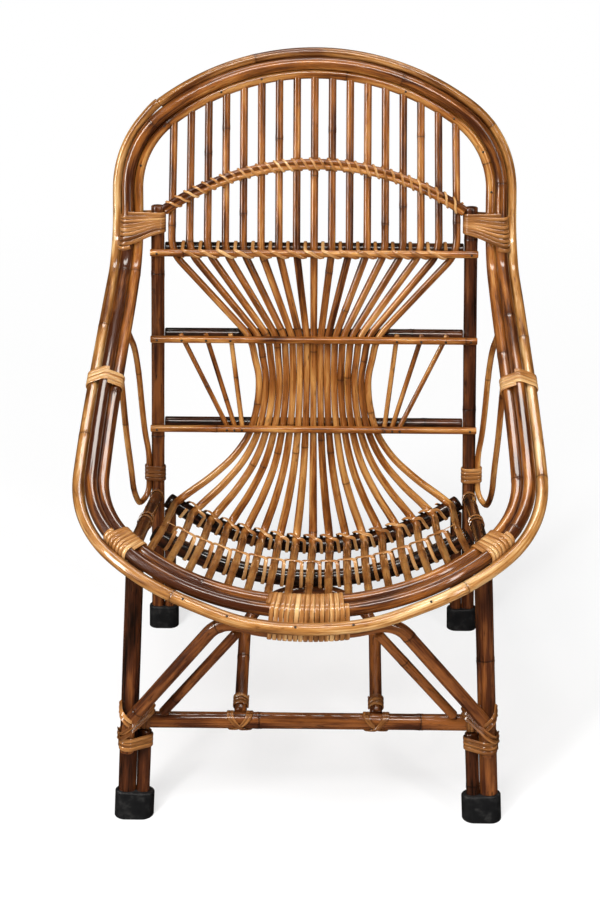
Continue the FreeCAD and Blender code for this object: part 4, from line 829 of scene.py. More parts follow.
    def seat_rests(self, k):
        """Corner and facing of the right spindle k over the rear and the front bearer, and its end."""
        s, wrap = self.spindle, self.wrap
        rest = touching(self.seat.bearer_dia, s.dia)
        lower = self.spindle_at(k * s.fan_pitch, self.rail_height("lower"))
        target, end_way = self.node_at_half(k * s.end_pitch, self.inner)
        rear_axis, rear_way = self.bearer("rear", k * s.rear_pitch)
        front_axis, front_way = self.bearer("front", k * s.front_pitch)
        rise = unit(np.cross(front_way, rear_axis - target))
        front, rear = front_axis + rise * rest, rear_axis + rise * rest
        for _ in range(BEND_TRIES):
            fan = self.fan_point(lower, rear, FAN_KNEES[1])
            inside, off = corner_inside(fan, rear, front, s.seat_bend)
            inside = square(inside, rear_way)
            rear = rear_axis + inside * (rest - off)
        run = unit(front - target)
        bound = k * s.end_pitch - s.dia / 2 < wrap.front_turns * wrap.pitch / 2 + STRIP_ROOM
        stop = butt(s.dia, run, self.rim.inner_dia, end_way, STRIP_ROOM) if bound else s.let_in
        return rear, inside, front, rise, target + run * stop

    def spindle_nodes(self, k):
        """Nodes of the right spindle k, from the rim's top through the waist to the rim's front."""
        s = self.spindle
        high, mid, low = map(self.rail_height, RAILS)
        upper = self.spindle_at(k * s.upper_pitch, high)
        middle = self.spindle_at(self.mid_places()[k], mid)
        waist = self.spindle_at(k * (s.dia + s.waist_gap), (mid + low) / 2)
        lower = self.spindle_at(k * s.fan_pitch, low)
        target, _ = self.node_at_half(k * s.top_pitch, self.inner, False)
        top = target + unit(upper - target) * s.let_in
        rear, _, front, _, end = self.seat_rests(k)
        fan = [(self.fan_point(lower, rear, share), 0) for share in FAN_KNEES]
        return route([
            (top, 0),
            (rounded_corner(upper, top, middle, s.upper_bend), s.upper_bend),
            (middle, s.waist_bend),
            (waist, 0),
            (lower, 0),
            *fan,
            (rear, s.seat_bend),
            (front, 0),
            (end, 0),
        ])

    def tie_place(self, height):
        """Axis of the right arm loop where it lies against the post."""
        beside = touching(self.back.post_dia, self.seat.loop_dia)
        angle = self.seat.tie_angle
        return self.post(height) + vec(beside * math.cos(angle), -beside * math.sin(angle), 0)

    def loop_nodes(self):
        """The right arm loop: from the arm back to the post, round its foot and up to the arm again."""
        s = self.seat
        upper, upper_way = self.hoop_node(self.bend_end + s.loop_upper_run, self.inner)
        lower, lower_way = self.hoop_node(self.bend_end + s.loop_lower_run, self.inner)
        half = (self.wrap.tie_turns / 2 + 1) * self.wrap.pitch
        tie_top, tie_foot = self.tie_place(s.tie_height + half), self.tie_place(s.tie_height - half)
        foot = tie_foot + vec(s.foot_out, -s.foot_ahead, s.foot_height - tie_foot[2])
        knee = self.post(s.tie_height + s.knee_rise) + vec(s.knee_out, -s.knee_ahead, 0)
        shoulder = (upper + knee) / 2 + LOOP_BULGE * (upper[2] - knee[2])
        rise = (foot + lower) / 2 + LOOP_SAG * (lower[2] - foot[2])
        run_in, run_out = unit(shoulder - upper), unit(rise - lower)
        start = upper + run_in * butt(s.loop_dia, run_in, self.rim.inner_dia, upper_way)
        end = lower + run_out * butt(s.loop_dia, run_out, self.rim.inner_dia, lower_way)
        return [
            (start, run_in),
            (shoulder, unit(knee - start)),
            (knee, unit(tie_top - shoulder)),
            (tie_top, -self.post_way),
            (tie_foot, -self.post_way),
            (foot, unit(rise - tie_foot)),
            (rise, unit(end - foot)),
            (end, -run_out),
        ]


# Surfaces: a profile carried along a path.


def carried(path, normal, profile, scale, grain, marks):
    """Points path + scale * (profile across, turned into the path's normal and its side), closed round
    and at both ends by a middle point, with grain and marks for the materials."""
    way = unit(np.gradient(path, axis=0))
    first = unit(normal - way * dots(normal, way))
    second = np.cross(way, first)
    rows, cols = len(path), len(profile)
    across = profile[None, :, 0, None] * first[:, None] + profile[None, :, 1, None] * second[:, None]
    points = path[:, None] + scale[:, None, None] * across
    points = np.concatenate((points.reshape(-1, 3), path[:1], path[-1:]))
    i, j = np.arange(rows - 1)[:, None] * cols, np.arange(cols)
    k = (j + 1) % cols
    quads = np.stack((i + j, i + k, i + cols + k, i + cols + j), axis=-1).reshape(-1, 4)
    low, high = np.full(cols, rows * cols), np.full(cols, rows * cols + 1)
    last = (rows - 1) * cols
    tris = np.concatenate((np.stack((low, k, j), axis=1), np.stack((high, last + j, last + k), axis=1)))
    length = np.broadcast_to(grain[:, None, None], (rows, cols, 1))
    lines = np.concatenate((length, scale[:, None, None] * profile[None]), axis=2).reshape(-1, 3)
    ends = np.array(((grain[0], 0, 0), (grain[-1], 0, 0)))
    spots = np.repeat(marks, cols, axis=0)
    return {
        "points": points,
        "quads": quads,
        "tris": tris,
        "grain": np.concatenate((lines, ends)),
        "marks": np.concatenate((spots, marks[:1], marks[-1:])),
    }


def ring(sides):
    """A circle of radius 1 as (cosine, sine)."""
    turn = np.arange(sides) * (math.tau / sides)
    return np.stack((np.cos(turn), np.sin(turn)), axis=1)


# Sections of a cane near a knuckle and near a cut end, and how its radius changes there.
KNUCKLE = np.array((-9, -6, -4, -2.5, -1.4, -0.6, 0, 0.5, 1.1, 2, 3.2, 5)) * 0.001
END_STEPS = np.array((0, 0.25, 0.7, 1.4)) * 0.001
KNOT_MARGIN = 0.012  # between a cut end and the nearest knuckle
BELL_BEFORE, BELL_AFTER = 0.0055, 0.0028  # reach of the swelling
NICK_REACH, NICK_DEPTH = 0.0007, 0.045
WAVES, WAVER = (0.061, 0.023), 0.006  # lengths and share of the slow wavering
END_EASE = 0.13  # share by which a cut end is rounded
RING_REACH, HALO_REACH = 0.0011, 0.016  # dark ring and burnt halo of a knuckle
BAR_STEP = 0.004  # between points of a straight path


def cane(path, dia, facing, seed, joint=0.23, swell=0.05, sides=16, step=0.006, shade=0, vary=1):
    """A cane: a circle carried along a path. Its radius swells by a bell at each knuckle, steeper
    after than before, is nicked there, wavers slowly and is eased at both cut ends."""
    rng = np.random.default_rng(seed)
    run = travelled(path)
    total = run[-1]
    knots = np.cumsum(joint * rng.uniform(0.7, 1.35, int(total / joint) + 4)) - joint * rng.uniform(0.3, 1.3)
    knots = knots[(knots > KNOT_MARGIN) & (knots < total - KNOT_MARGIN)]
    spots = (knots[:, None] + KNUCKLE).ravel()
    even = np.arange(step, total - step / 2, step)
    places = np.concatenate((even, spots, END_STEPS, total - END_STEPS))
    places = np.unique(np.round(np.clip(places, 0, total), 4))
    places[-1] = total
    places = places[np.concatenate(([True], np.diff(places) > 5e-5))]
    gap = np.ones_like(places)
    if len(knots):
        gap = places[:, None] - knots
        gap = np.take_along_axis(gap, np.abs(gap).argmin(axis=1)[:, None], axis=1)[:, 0]
    bell = np.exp(-((gap / np.where(gap < 0, BELL_BEFORE, BELL_AFTER)) ** 2))
    nick = np.exp(-((gap / NICK_REACH) ** 2))
    starts = rng.uniform(0, math.tau, 2)
    slow = sum(np.sin(places / wave + start) for wave, start in zip(WAVES, starts))
    edge = 1 - np.clip(np.minimum(places, total - places) / END_STEPS[-1], 0, 1)
    dia, shade = (np.interp(places, run, np.broadcast_to(value, run.shape)) for value in (dia, shade))
    scale = dia / 2 * (1 + swell * bell - NICK_DEPTH * nick + WAVER * slow) * (1 - END_EASE * edge**2)
    tones = rng.normal(0, 1, len(knots) + 2)
    tone = vary * np.clip(0.55 * tones[np.searchsorted(knots, places)] + 0.55 * tones[-1], -1.2, 1.2) + shade
    marks = np.stack((np.exp(-((gap / RING_REACH) ** 2)), np.exp(-np.abs(gap) / HALO_REACH), tone), axis=1)
    centre, normal = pick(path, run, places), pick(np.broadcast_to(facing, path.shape), run, places)
    return carried(centre, normal, ring(sides), scale, places + rng.uniform(0, 40), marks)


def straight(start, end, dia, seed, **more):
    """A straight cane between two points."""
    way = unit(end - start)
    steps = max(2, int(size(end - start) / BAR_STEP))
    path = start + (end - start) * np.linspace(0, 1, steps)[:, None]
    side = np.cross(way, AHEAD if abs(way[1]) < 0.8 else ACROSS)
    return cane(path, dia, side, seed, **more)


DOME, BED = 0.60, 0.40  # shares of a strip's thickness outside and inside its middle
DOME_POWER, EDGE_POWER = 0.75, 0.62  # how square the section is
TURN_TONES = 64  # tones along a strip, one for each turn


def strip(path, outward, width, thick, seed, turns=None, sides=10, step=0.0022, shade=0):
    """A strip of peeled cane: a flat section, domed outside and nearly flat inside, carried along a
    path with its dome turned outward."""
    rng = np.random.default_rng(seed)
    run = travelled(path)
    places = np.linspace(0, run[-1], max(4, int(run[-1] / step)))
    rise, wide = ring(sides).T
    dome = np.where(rise > 0, DOME, BED) * thick * np.sign(rise) * np.abs(rise) ** DOME_POWER
    flat = np.sign(wide) * np.abs(wide) ** EDGE_POWER * width / 2
    tones = rng.normal(0, 0.55, TURN_TONES)
    zero = np.zeros_like(places)
    turn = zero if turns is None else np.interp(places, run, turns)
    marks = np.stack((zero, zero, np.interp(turn, np.arange(TURN_TONES), tones) + shade), axis=1)
    profile, scale = np.stack((dome, flat), axis=1), np.ones_like(places)
    centre, normal = pick(path, run, places), pick(outward, run, places)
    return carried(centre, normal, profile, scale, places + seed, marks)


# Bindings: a strip pulled round a bundle.


def tangent_angle(here, there):
    """Angle of the normal of the outer tangent from one circle (u, v, r) to the next."""
    du, dv = there[0] - here[0], there[1] - here[1]
    return math.atan2(dv, du) - math.acos((here[2] - there[2]) / math.hypot(du, dv))


def hull_spans(circles, order):
    """For each circle in order: the angle at which the strip reaches it, and how far it turns there."""
    spans = []
    for place, k in enumerate(order):
        first = tangent_angle(circles[order[place - 1]], circles[k])
        after = tangent_angle(circles[k], circles[order[(place + 1) % len(order)]])
        spans.append((first, (after - first) % math.tau))
    return spans


def hull_track(circles, samples):
    """The line of a strip pulled round circles: arcs on the circles that it touches and straight runs
    between them. For samples evenly along it: the circle left, the circle next, the share of the way
    between them, and the angle of the normal."""
    if len(circles) == 1:
        zero = np.zeros(samples, int)
        return zero, zero, np.zeros(samples), np.linspace(0, math.tau, samples)
    turn = np.linspace(0, math.tau, 721)[:-1]
    c = np.array(circles)
    best = (np.outer(np.cos(turn), c[:, 0]) + np.outer(np.sin(turn), c[:, 1]) + c[:, 2]).argmax(axis=1)
    order = [int(k) for k in best[np.concatenate(([True], np.diff(best) != 0))]]
    if len(order) > 1 and order[0] == order[-1]:
        order.pop()
    start = order.index(0)
    order = order[start:] + order[:start]
    order = [k for k, (_, width) in zip(order, hull_spans(circles, order)) if width > 0.03]
    pieces = []
    for place, (first, width) in enumerate(hull_spans(circles, order)):
        k, following = order[place], order[(place + 1) % len(order)]
        here, there, last = c[k], c[following], first + width
        normal = np.array((math.cos(last), math.sin(last)))
        run = math.hypot(*(there[:2] - here[:2] + (there[2] - here[2]) * normal))
        pieces.append((k, k, first, width, here[2] * width))
        pieces.append((k, following, last, 0, run))
    table = np.array(pieces)
    ends = np.cumsum(table[:, 4])
    places = np.linspace(0, ends[-1], samples)
    index = np.minimum(np.searchsorted(ends, places), len(pieces) - 1)
    rows = table[index]
    share = np.clip((places - ends[index] + rows[:, 4]) / np.maximum(rows[:, 4], 1e-9), 0, 1)
    between = np.where(rows[:, 3] > 0, 0, share)
    return rows[:, 0].astype(int), rows[:, 1].astype(int), between, rows[:, 2] + rows[:, 3] * share


def wound(frame_at, members, start, turns, pitch, standoff, samples=72):
    """A strip wound round a bundle: at each share of a turn it stands off the hull of the canes that
    cross there, and moves on by the pitch in each turn. Gives path, outward and turns so far."""
    rows = []
    share, row = np.linspace(0, 1, samples), np.arange(samples)
    for turn in range(int(turns)):
        middle = np.array((start + (turn + 0.5) * pitch,))
        place, way, across, up = frame_at(middle)
        circles = []
        for member, dia in members:
            centre, along = member(middle, place, way)
            pairs = ((centre - place, across), (centre - place, up), (along, way))
            u, v, lean = (float(dots(*pair)[0, 0]) for pair in pairs)
            circles.append((u, v, dia / 2 / abs(lean) + standoff))
        here, there, between, angle = hull_track(circles, samples)
        stations = start + (turn + share) * pitch
        place, way, across, up = frame_at(stations)
        outward = across * np.cos(angle)[:, None] + up * np.sin(angle)[:, None]
        centres = np.stack([member(stations, place, way)[0] for member, _ in members])
        wide = np.array(circles)[:, 2]
        near = centres[here, row] + outward * wide[here][:, None]
        far = centres[there, row] + outward * wide[there][:, None]
        path = near + (far - near) * between[:, None]
        rows.append(np.concatenate((path, outward, (turn + share)[:, None]), axis=1))
    rows = np.concatenate([turn[:-1] for turn in rows[:-1]] + rows[-1:])
    return rows[:, :3], rows[:, 3:6], rows[:, 6]


def pole_frame(start, way):
    """Frames along a straight cane, square to it."""
    across = square(-ACROSS if abs(way[0]) < 0.9 else UP, way)
    up = np.cross(way, across)

    def at(lengths):
        ones = np.ones((len(lengths), 1))
        return start + way * np.asarray(lengths)[:, None], way * ones, across * ones, up * ones

    return at


def pole(start, direction):
    """A straight cane in a bundle: where it crosses the planes of the frames."""

    def member(lengths, place, way):
        along = direction + 0 * way
        return start + direction * (dots(place - start, way) / dots(along, way)), along

    return member


# Materials.


class Recipe:
    """A material or world in the making: nodes by kind, with values and links on their sockets."""

    def __init__(self, tree):
        self.tree = tree
        tree.nodes.clear()

    def add(self, kind, values=None, **settings):
        """A node of a kind. Its sockets take other sockets, numbers or colours."""
        node = self.tree.nodes.new("ShaderNode" + kind)
        for key, value in settings.items():
            setattr(node, key, value)
        for key, value in (values or {}).items():
            socket = node.inputs[key]
            if isinstance(value, bpy.types.NodeSocket):
                self.tree.links.new(value, socket)
            else:
                socket.default_value = (*value, 1.0) if socket.type == "RGBA" else value
        return node

    def math(self, operation, *parts):
        return self.add("Math", dict(enumerate(parts)), operation=operation).outputs[0]

    def noise(self, place, scale, detail, rough=0.5):
        values = {"Vector": place, "Scale": scale, "Detail": detail, "Roughness": rough}
        return self.add("TexNoise", values).outputs[0]

    def ramp(self, value, *stops):
        """A colour or grey for a value, through stops (place, shade)."""
        node = self.add("ValToRGB", {"Fac": value})
        line = node.color_ramp.elements
        while len(line) < len(stops):
            line.new(0.5)
        for element, (place, shade) in zip(line, stops):
            element.position = place
            element.color = (*shade, 1.0) if isinstance(shade, tuple) else (shade, shade, shade, 1.0)
        return node.outputs["Color"]

    def mixed(self, share, first, second):
        """The first colour, turning into the second with the share."""
        return self.add("Mix", {0: share, 6: first, 7: second}, data_type="RGBA").outputs[2]

    def bump(self, height, strength, distance):
        values = {"Strength": strength, "Distance": distance, "Height": height}
        return self.add("Bump", values).outputs[0]

    def shader(self, kind, values):
        return self.add(kind, values).outputs[0]


def painted(name, mix):
    """The material of a name, made once: mix lays its nodes and gives its shader."""
    material = bpy.data.materials.get(name)
    if material is None:
        material = bpy.data.materials.new(name)
        material.use_nodes = True
        r = Recipe(material.node_tree)
        r.add("OutputMaterial", {"Surface": mix(r)})
    return material


def cane_finish(r, dark, mid, pale, coat, burnt, bump):
    """Varnished cane: long fibres, drifting patches, small burnt spots and dark rings at the knuckles,
    under a clear coat. It reads the pieces' own grain (length, across) and marks (ring, halo, tone)."""

    def attribute(label):
        return r.add("Attribute", attribute_name=label).outputs["Vector"]

    grain = attribute("grain")
    knuckle, halo, tone = r.add("SeparateXYZ", {0: attribute("marks")}).outputs

    def noise(along, across, detail, rough=0.55):
        place = r.add("VectorMath", {0: grain, 1: (along, across, across)}, operation="MULTIPLY").outputs[0]
        return r.noise(place, 1.0, detail, rough)

    fibre, patch, waver = noise(7.0, 620.0, 3.0), noise(11.0, 95.0, 4.0), noise(38.0, 130.0, 2.0)
    spot = noise(46.0, 210.0, 3.0, 0.6)
    value = r.math("MULTIPLY_ADD", r.math("SUBTRACT", patch, 0.5), 1.9, 0.52)
    for part, weight in ((r.math("SUBTRACT", fibre, 0.5), 0.75), (tone, 0.15), (halo, -0.16)):
        value = r.math("MULTIPLY_ADD", part, weight, value)
    base = r.ramp(value, (0.08, dark), (0.50, mid), (0.92, pale))
    base = r.mixed(r.ramp(spot, (0.60, 0.0), (0.74, burnt)), base, dark)
    base = r.mixed(r.math("MULTIPLY", knuckle, 0.72), base, tuple(0.45 * c for c in dark))
    height = r.math("ADD", r.math("MULTIPLY", fibre, 0.7), r.math("MULTIPLY", spot, -0.35))
    height = r.math("ADD", height, r.math("MULTIPLY", waver, 5.0))
    return r.shader("BsdfPrincipled", {
        "Base Color": base,
        "Roughness": r.ramp(fibre, (0.30, 0.26), (0.72, 0.42)),
        "Normal": r.bump(height, bump, 0.0006),
        "Specular IOR Level": 0.18,
        "Coat Weight": coat,
        "Coat Roughness": 0.07,
        "Coat IOR": 1.5,
    })


def worn_finish(r, plain, worn, patch, fine, edge, rough, relief, gloss):
    """Rubber or iron: a plain skin, rubbed to another colour and gloss in patches of noise, with a fine
    relief of noise."""
    place = r.add("TexCoord").outputs["Object"]
    rub = r.noise(place, *patch)
    return r.shader("BsdfPrincipled", {
        "Base Color": r.mixed(r.ramp(rub, (edge[0], 0.0), (edge[1], 1.0)), plain, worn),
        "Roughness": r.ramp(rub, (0.35, rough[0]), (0.70, rough[1])),
        "Normal": r.bump(r.noise(place, *fine), *relief),
        **gloss,
    })


def cane_look(name, stem, coat=0.8, burnt=0.85, bump=0.5):
    """A cane material's name and recipe, its colours and the strength of its coat, burns and relief."""
    colours = [stem + shade for shade in ("_dark", "_mid", "_pale")]
    return name, cane_finish, colours, {"coat": coat, "burnt": burnt, "bump": bump}


LOOKS = {
    "cane_honey": cane_look("varnished_honey_cane", "honey"),
    "cane_dark": cane_look("varnished_brown_cane", "brown"),
    "cane_light": cane_look("varnished_straw_cane", "straw"),
    "binding": cane_look("peeled_cane_strip", "strip", 0.7, 0.4, 0.25),
    "rubber": ("black_rubber", worn_finish, ("rubber", "rubber_worn"), {
        "patch": (70.0, 6.0, 0.7), "fine": (900.0, 2.0), "edge": (0.52, 0.72), "rough": (0.45, 0.72),
        "relief": (0.35, 0.0004), "gloss": {"Specular IOR Level": 0.25},
    }),
    "nail": ("iron_nail", worn_finish, ("nail", "nail_worn"), {
        "patch": (900.0, 3.0), "fine": (900.0, 3.0), "edge": (0.48, 0.68), "rough": (0.55, 0.35),
        "relief": (0.3, 0.0002), "gloss": {"Metallic": 0.8},
    }),
}


def finish(slot):
    """The material of a slot."""
    name, recipe, colours, values = LOOKS[slot]
    tints = bpy.context.scene.bamboo_chair.finishes
    return painted(name, lambda r: recipe(r, *(tuple(getattr(tints, key)) for key in colours), **values))


# Putting pieces into the scene.


SIDES = (("right", lambda v: v), ("left", mirrored))
SHARP = math.radians(50)  # edges that stay sharp in the smooth shading


def linked(name, data):
    """A new object in the scene."""
    thing = bpy.data.objects.new(name, data)
    bpy.context.scene.collection.objects.link(thing)
    return thing


def put_piece(name, surfaces, slot, *nodes, look=None):
    """One object from surfaces: their points and faces joined, with grain and marks, riding on the
    chair in place of its nodes. Its look is its slot's unless another is given."""
    starts = np.cumsum([0] + [len(s["points"]) for s in surfaces])
    points = np.concatenate([s["points"] for s in surfaces])
    quads, tris = (
        np.concatenate([s[kind] + k for s, k in zip(surfaces, starts)]).tolist() for kind in ("quads", "tris")
    )
    mesh = bpy.data.meshes.new(name)
    mesh.from_pydata(points.tolist(), [], quads + tris)
    for label in ("grain", "marks"):
        rows = np.concatenate([s[label] for s in surfaces]).astype(np.float32)
        mesh.attributes.new(label, "FLOAT_VECTOR", "POINT").data.foreach_set("vector", rows.ravel())
    mesh.shade_smooth()
    mesh.set_sharp_from_angle(angle=SHARP)
    mesh.materials.append(finish(look or slot))
    mesh.validate()
    piece = linked(name, mesh)
    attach(piece, "root")
    if nodes:
        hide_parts(*nodes)


def put_cane(node, surfaces, slot, look=None):
    """A piece of canes, named after the node whose place it takes."""
    put_piece("cane_" + node, surfaces, slot, node, look=look)


def put_pair(label, node, start, end, dia, seed, **more):
    """The right and the left one of a straight dark cane."""
    for k, (side, place) in enumerate(SIDES):
        bar = straight(place(start), place(end), dia, seed + k, **more)
        put_piece("cane_%s_%s" % (label, side), [bar], "cane_dark", "%s_%s" % (node, side))


def strip_pairs(windings, width, thick, seed, shades, **more):
    """Strips along windings (path, outward, turns), each on the right and on the left."""
    surfaces = []
    for path, outward, *turns in windings:
        for _, place in SIDES:
            shade = shades[len(surfaces) % len(shades)]
            lines = place(path), place(outward)
            surfaces.append(strip(*lines, width, thick, seed + len(surfaces), *turns, shade=shade, **more))
    return surfaces


# Operators: one for each piece or group of like pieces. In their tables, seeds start the random draws
# of a cane's knuckles and tones, and shades make a cane paler (above 0) or darker (below 0).


SCARF_FIT = 0.0002  # cut off each end of a rim cane
ARMS_START, ARMS_RUN = 0.2, 0.5  # where crown shades turn into front shades and the painted shade of the left side comes in, in half hoops
LEFT_SHADE_WIDTH = 0.3  # width over which the painted shade of the left side fades


class BAMBOO_OT_rim(Operator):
    """Three bent canes that make the hoop of back, arms and seat front"""

    bl_idname = "bamboo_chair.rim"
    bl_label = "Rim canes"

    def execute(self, context):
        plan = Layout()
        rim = plan.rim
        rows = (
            ("middle", plan.middle, rim.middle_dia, -plan.half, "cane_honey", 11, (-0.9, -1.3)),
            ("inner", plan.inner, rim.inner_dia, -plan.half, "cane_honey", 12, (0.6, -1.1)),
            # The outer cane is paler along the arms and front than at the crown: partly its own straw tone,
            # partly painted light from above.
            ("outer", plan.outer, rim.outer_dia, -plan.top_arc, "cane_light", 13, (-1.7, -0.9)),
        )
        for label, offset, dia, start, slot, seed, (crown, front) in rows:
            end = start + 2 * plan.half
            t = np.linspace(start + SCARF_FIT, end - SCARF_FIT, 1600)
            path, facing, outward = plan.on_hoop(t, offset), *plan.hoop(t)[2:4]
            if label == "outer":
                lifted = rim.scarf_lift * smooth(1 - (end - t) / rim.scarf_run)
                path = plan.outer_line(t) + outward * lifted[:, None]
            if label != "middle":
                dia = plan.drawn(dia, t)
            arms = smooth((np.abs(plan.wrapped(t)) / plan.half - ARMS_START) / ARMS_RUN)
            # Painted shade: the left arm and the front left are darkened for the shade on that side of the
            # chair.
            left = smooth(0.5 - path[:, 0] / LEFT_SHADE_WIDTH)
            shade = crown + (front - crown) * arms - rim.left_painted_shade * left * arms
            surface = cane(path, dia, facing, seed, joint=0.30, swell=0.04, sides=20, shade=shade)
            put_piece("cane_rim_" + label, [surface], slot, "rim_%s_cane" % label)
        return {"FINISHED"}


class BAMBOO_OT_posts(Operator):
    """Rear posts and front legs with the short doublers beside their feet"""

    bl_idname = "bamboo_chair.posts"
    bl_label = "Posts and legs"

    def execute(self, context):
        plan = Layout()
        front, back, seat = plan.front, plan.back, plan.seat
        room = front.stretcher_dia / 2 + FIT + front.doubler_dia / 2 * abs(plan.leg_way[1])
        leg_foot, post_foot = plan.leg_foot + plan.leg_step, plan.post_foot + plan.post_step
        leg_top = plan.leg_at(front.stretcher_height - room) + plan.leg_step
        beside = plan.post(seat.rear_height)[0] - touching(back.post_dia, front.doubler_dia)
        rest, way = plan.bearer("rear", beside)
        stop = rest[2] - butt(front.doubler_dia, plan.post_way, seat.bearer_dia, way) - FIT
        rows = (
            ("rear_post", plan.post_foot, plan.post_top, back.post_dia, 21),
            ("front_leg", plan.leg_foot, plan.leg_top, front.leg_dia, 31),
            ("front_doubler", leg_foot, leg_top, front.doubler_dia, 41),
            ("rear_doubler", post_foot, at_height(post_foot, plan.post_way, stop), front.doubler_dia, 51),
        )
        for label, *ends, dia, seed in rows:
            put_pair(label, label, *ends, dia, seed, sides=20)
        return {"FINISHED"}


class BAMBOO_OT_front(Operator):
    """Stretcher, arch brace, diagonals and seat prop between the front legs"""

    bl_idname = "bamboo_chair.front"
    bl_label = "Front frame"

    def execute(self, context):
        plan = Layout()
        front = plan.front
        half = plan.joint[0] - butt(front.stretcher_dia, ACROSS, front.leg_dia, plan.leg_way)
        ends = plan.on_stretcher(-half), plan.on_stretcher(half)
        stretcher = straight(*ends, front.stretcher_dia, 61, joint=0.19, sides=20, shade=2.1)
        put_cane("front_stretcher", [stretcher], "cane_dark")
        path = bent_path(plan.brace_nodes())
        brace = cane(path, front.brace_dia, AHEAD, 62, joint=0.21, sides=20, shade=1.3)
        put_cane("front_arch_brace", [brace], "cane_dark")
        target, way = plan.node_at_half(front.diagonal_top, plan.brace)
        seat = plan.on_stretcher(front.diagonal_foot)
        run = unit(target - seat)
        foot = seat + run * butt(front.diagonal_dia, run, front.stretcher_dia, ACROSS)
        top = target - run * butt(front.diagonal_dia, run, front.brace_dia, way)
        put_pair("diagonal", "diagonal_brace", foot, top, front.diagonal_dia, 63, shade=1.3)
        facing = np.cross(ACROSS, plan.prop_axis()[3])
        prop = cane(bent_path(plan.prop_nodes()), front.prop_dia, facing, 66, sides=18, shade=0.6)
        put_piece("cane_seat_prop", [prop], "cane_dark", "seat_prop_hoop")
        return {"FINISHED"}


class BAMBOO_OT_seat(Operator):
    """Two sagging bearers and two side rails under the seat"""

    bl_idname = "bamboo_chair.seat"
    bl_label = "Seat frame"

    def execute(self, context):
        plan = Layout()
        for name, seed in (("rear", 71), ("front", 72)):
            end = plan.bearer_end(name)
            path = bent_path([plan.bearer(name, x) for x in (-end, 0, end)]) - plan.bearer_sink
            # The bearers' near-black tone (shade -3) is their own brown cane plus painted shade from the
            # slats above them.
            bearer = cane(path, plan.bearer_drawn, AHEAD, seed, shade=-3)
            put_cane("seat_bearer_" + name, [bearer], "cane_dark")
        label, ends = "seat_side_rail", (plan.rail_rear, plan.rail_front)
        put_pair(label, label, *ends, plan.seat.rail_dia, 73, joint=0.17)
        return {"FINISHED"}


class BAMBOO_OT_back(Operator):
    """Back rails, back arch and fan sticks"""

    bl_idname = "bamboo_chair.back"
    bl_label = "Back rails"

    def execute(self, context):
        plan = Layout()
        back = plan.back
        for k, name in enumerate(RAILS):
            height = plan.rail_height(name)
            post, half = plan.post(height)[0], back.post_dia / 2
            front = vec(post + half, plan.front_rail_depth(height), height)
            rear = vec(post - half - FIT, plan.rear_rail_depth(height), height)
            rows = (
                ("front", front, back.front_rail_dia, 81, -0.9, "cane_light", "cane_honey"),
                # The rear rails' shade -2 is painted shade for where they lie unlit behind the spindles, over
                # their own brown tone.
                ("rear", rear, back.rear_rail_dia, 84, -2, "cane_dark", "cane_dark"),
            )
            for row, end, dia, seed, shade, slot, look in rows:
                bar = straight(mirrored(end), end, dia, seed + k, shade=shade)
                put_cane("back_rail_%s_%s" % (name, row), [bar], slot, look)
        spans = [plan.arch_frame(across) for across in (-back.arch_half, 0, back.arch_half)]
        facing = spans[1][2]
        for label, shift, seeds in (("front", 1, {-1: 87, 1: 107}), ("rear", -1, {0: 98})):
            path = bent_path([(place + facing * plan.arch_shift() * shift, way) for place, way, _ in spans])
            side = np.cross(facing, unit(np.gradient(path, axis=0))) * back.arch_spread
            bars = [
                cane(path + side * k, back.arch_dia, facing, seed, joint=0.18, shade=-0.8)
                for k, seed in seeds.items()
            ]
            put_cane("back_arch_" + label, bars, "cane_light", "cane_honey")
        sticks = []
        for _, place in SIDES:
            for k in range(FAN_STICKS):
                top, foot = plan.fan_stick(k)
                reach = unit(top - foot) * back.stick_overlap
                ends = place(foot - reach), place(top + reach)
                sticks.append(straight(*ends, back.stick_dia, 90 + len(sticks)))
        put_cane("fan_sticks", sticks, "cane_honey")
        return {"FINISHED"}


FAN_DROPS = (0.16, 0.08)  # heights below the lower rail at which a spindle is over the seat, and in the fan
SPINDLE_SHADES = (0.1, 1.7, 1, 0.3, -1.2)  # over the seat, in the fan, and at the three rails upwards


class BAMBOO_OT_spindles(Operator):
    """Seventeen bent canes from the rim's top, through the waist and over the seat"""

    bl_idname = "bamboo_chair.spindles"
    bl_label = "Spindles"

    def execute(self, context):
        plan = Layout()
        s = plan.spindle
        rails = [plan.rail_height(name) for name in reversed(RAILS)]
        heights = [rails[0] - drop for drop in FAN_DROPS] + rails
        tight = s.waist_gap / s.dia
        swells = 1 + np.array((s.seat_swell, s.fan_swell, tight, tight, s.upper_swell))
        make = {"joint": 0.26, "swell": 0.07, "sides": 14, "step": 0.005, "vary": 0.55}
        for index in range(-s.each_side, s.each_side + 1):
            path = bent_path(plan.spindle_nodes(abs(index)))
            if index < 0:
                path = mirrored(path)
            dia = s.dia * np.interp(path[:, 2], heights, swells)
            shade = np.interp(path[:, 2], heights, SPINDLE_SHADES)
            surface = cane(path, dia, ACROSS, 110 + index, shade=shade, **make)
            put_cane("spindle_%02d" % (index + s.each_side + 1), [surface], "cane_honey")
        return {"FINISHED"}


class BAMBOO_OT_loops(Operator):
    """Bent loops between the arms and the rear posts"""

    bl_idname = "bamboo_chair.loops"
    bl_label = "Arm loops"

    def execute(self, context):
        plan = Layout()
        path = bent_path(plan.loop_nodes())
        for k, (side, place) in enumerate(SIDES):
            loop = cane(place(path), plan.seat.loop_dia, ACROSS, 140 + k, shade=-0.8)
            put_cane("side_loop_" + side, [loop], "cane_honey")
        return {"FINISHED"}


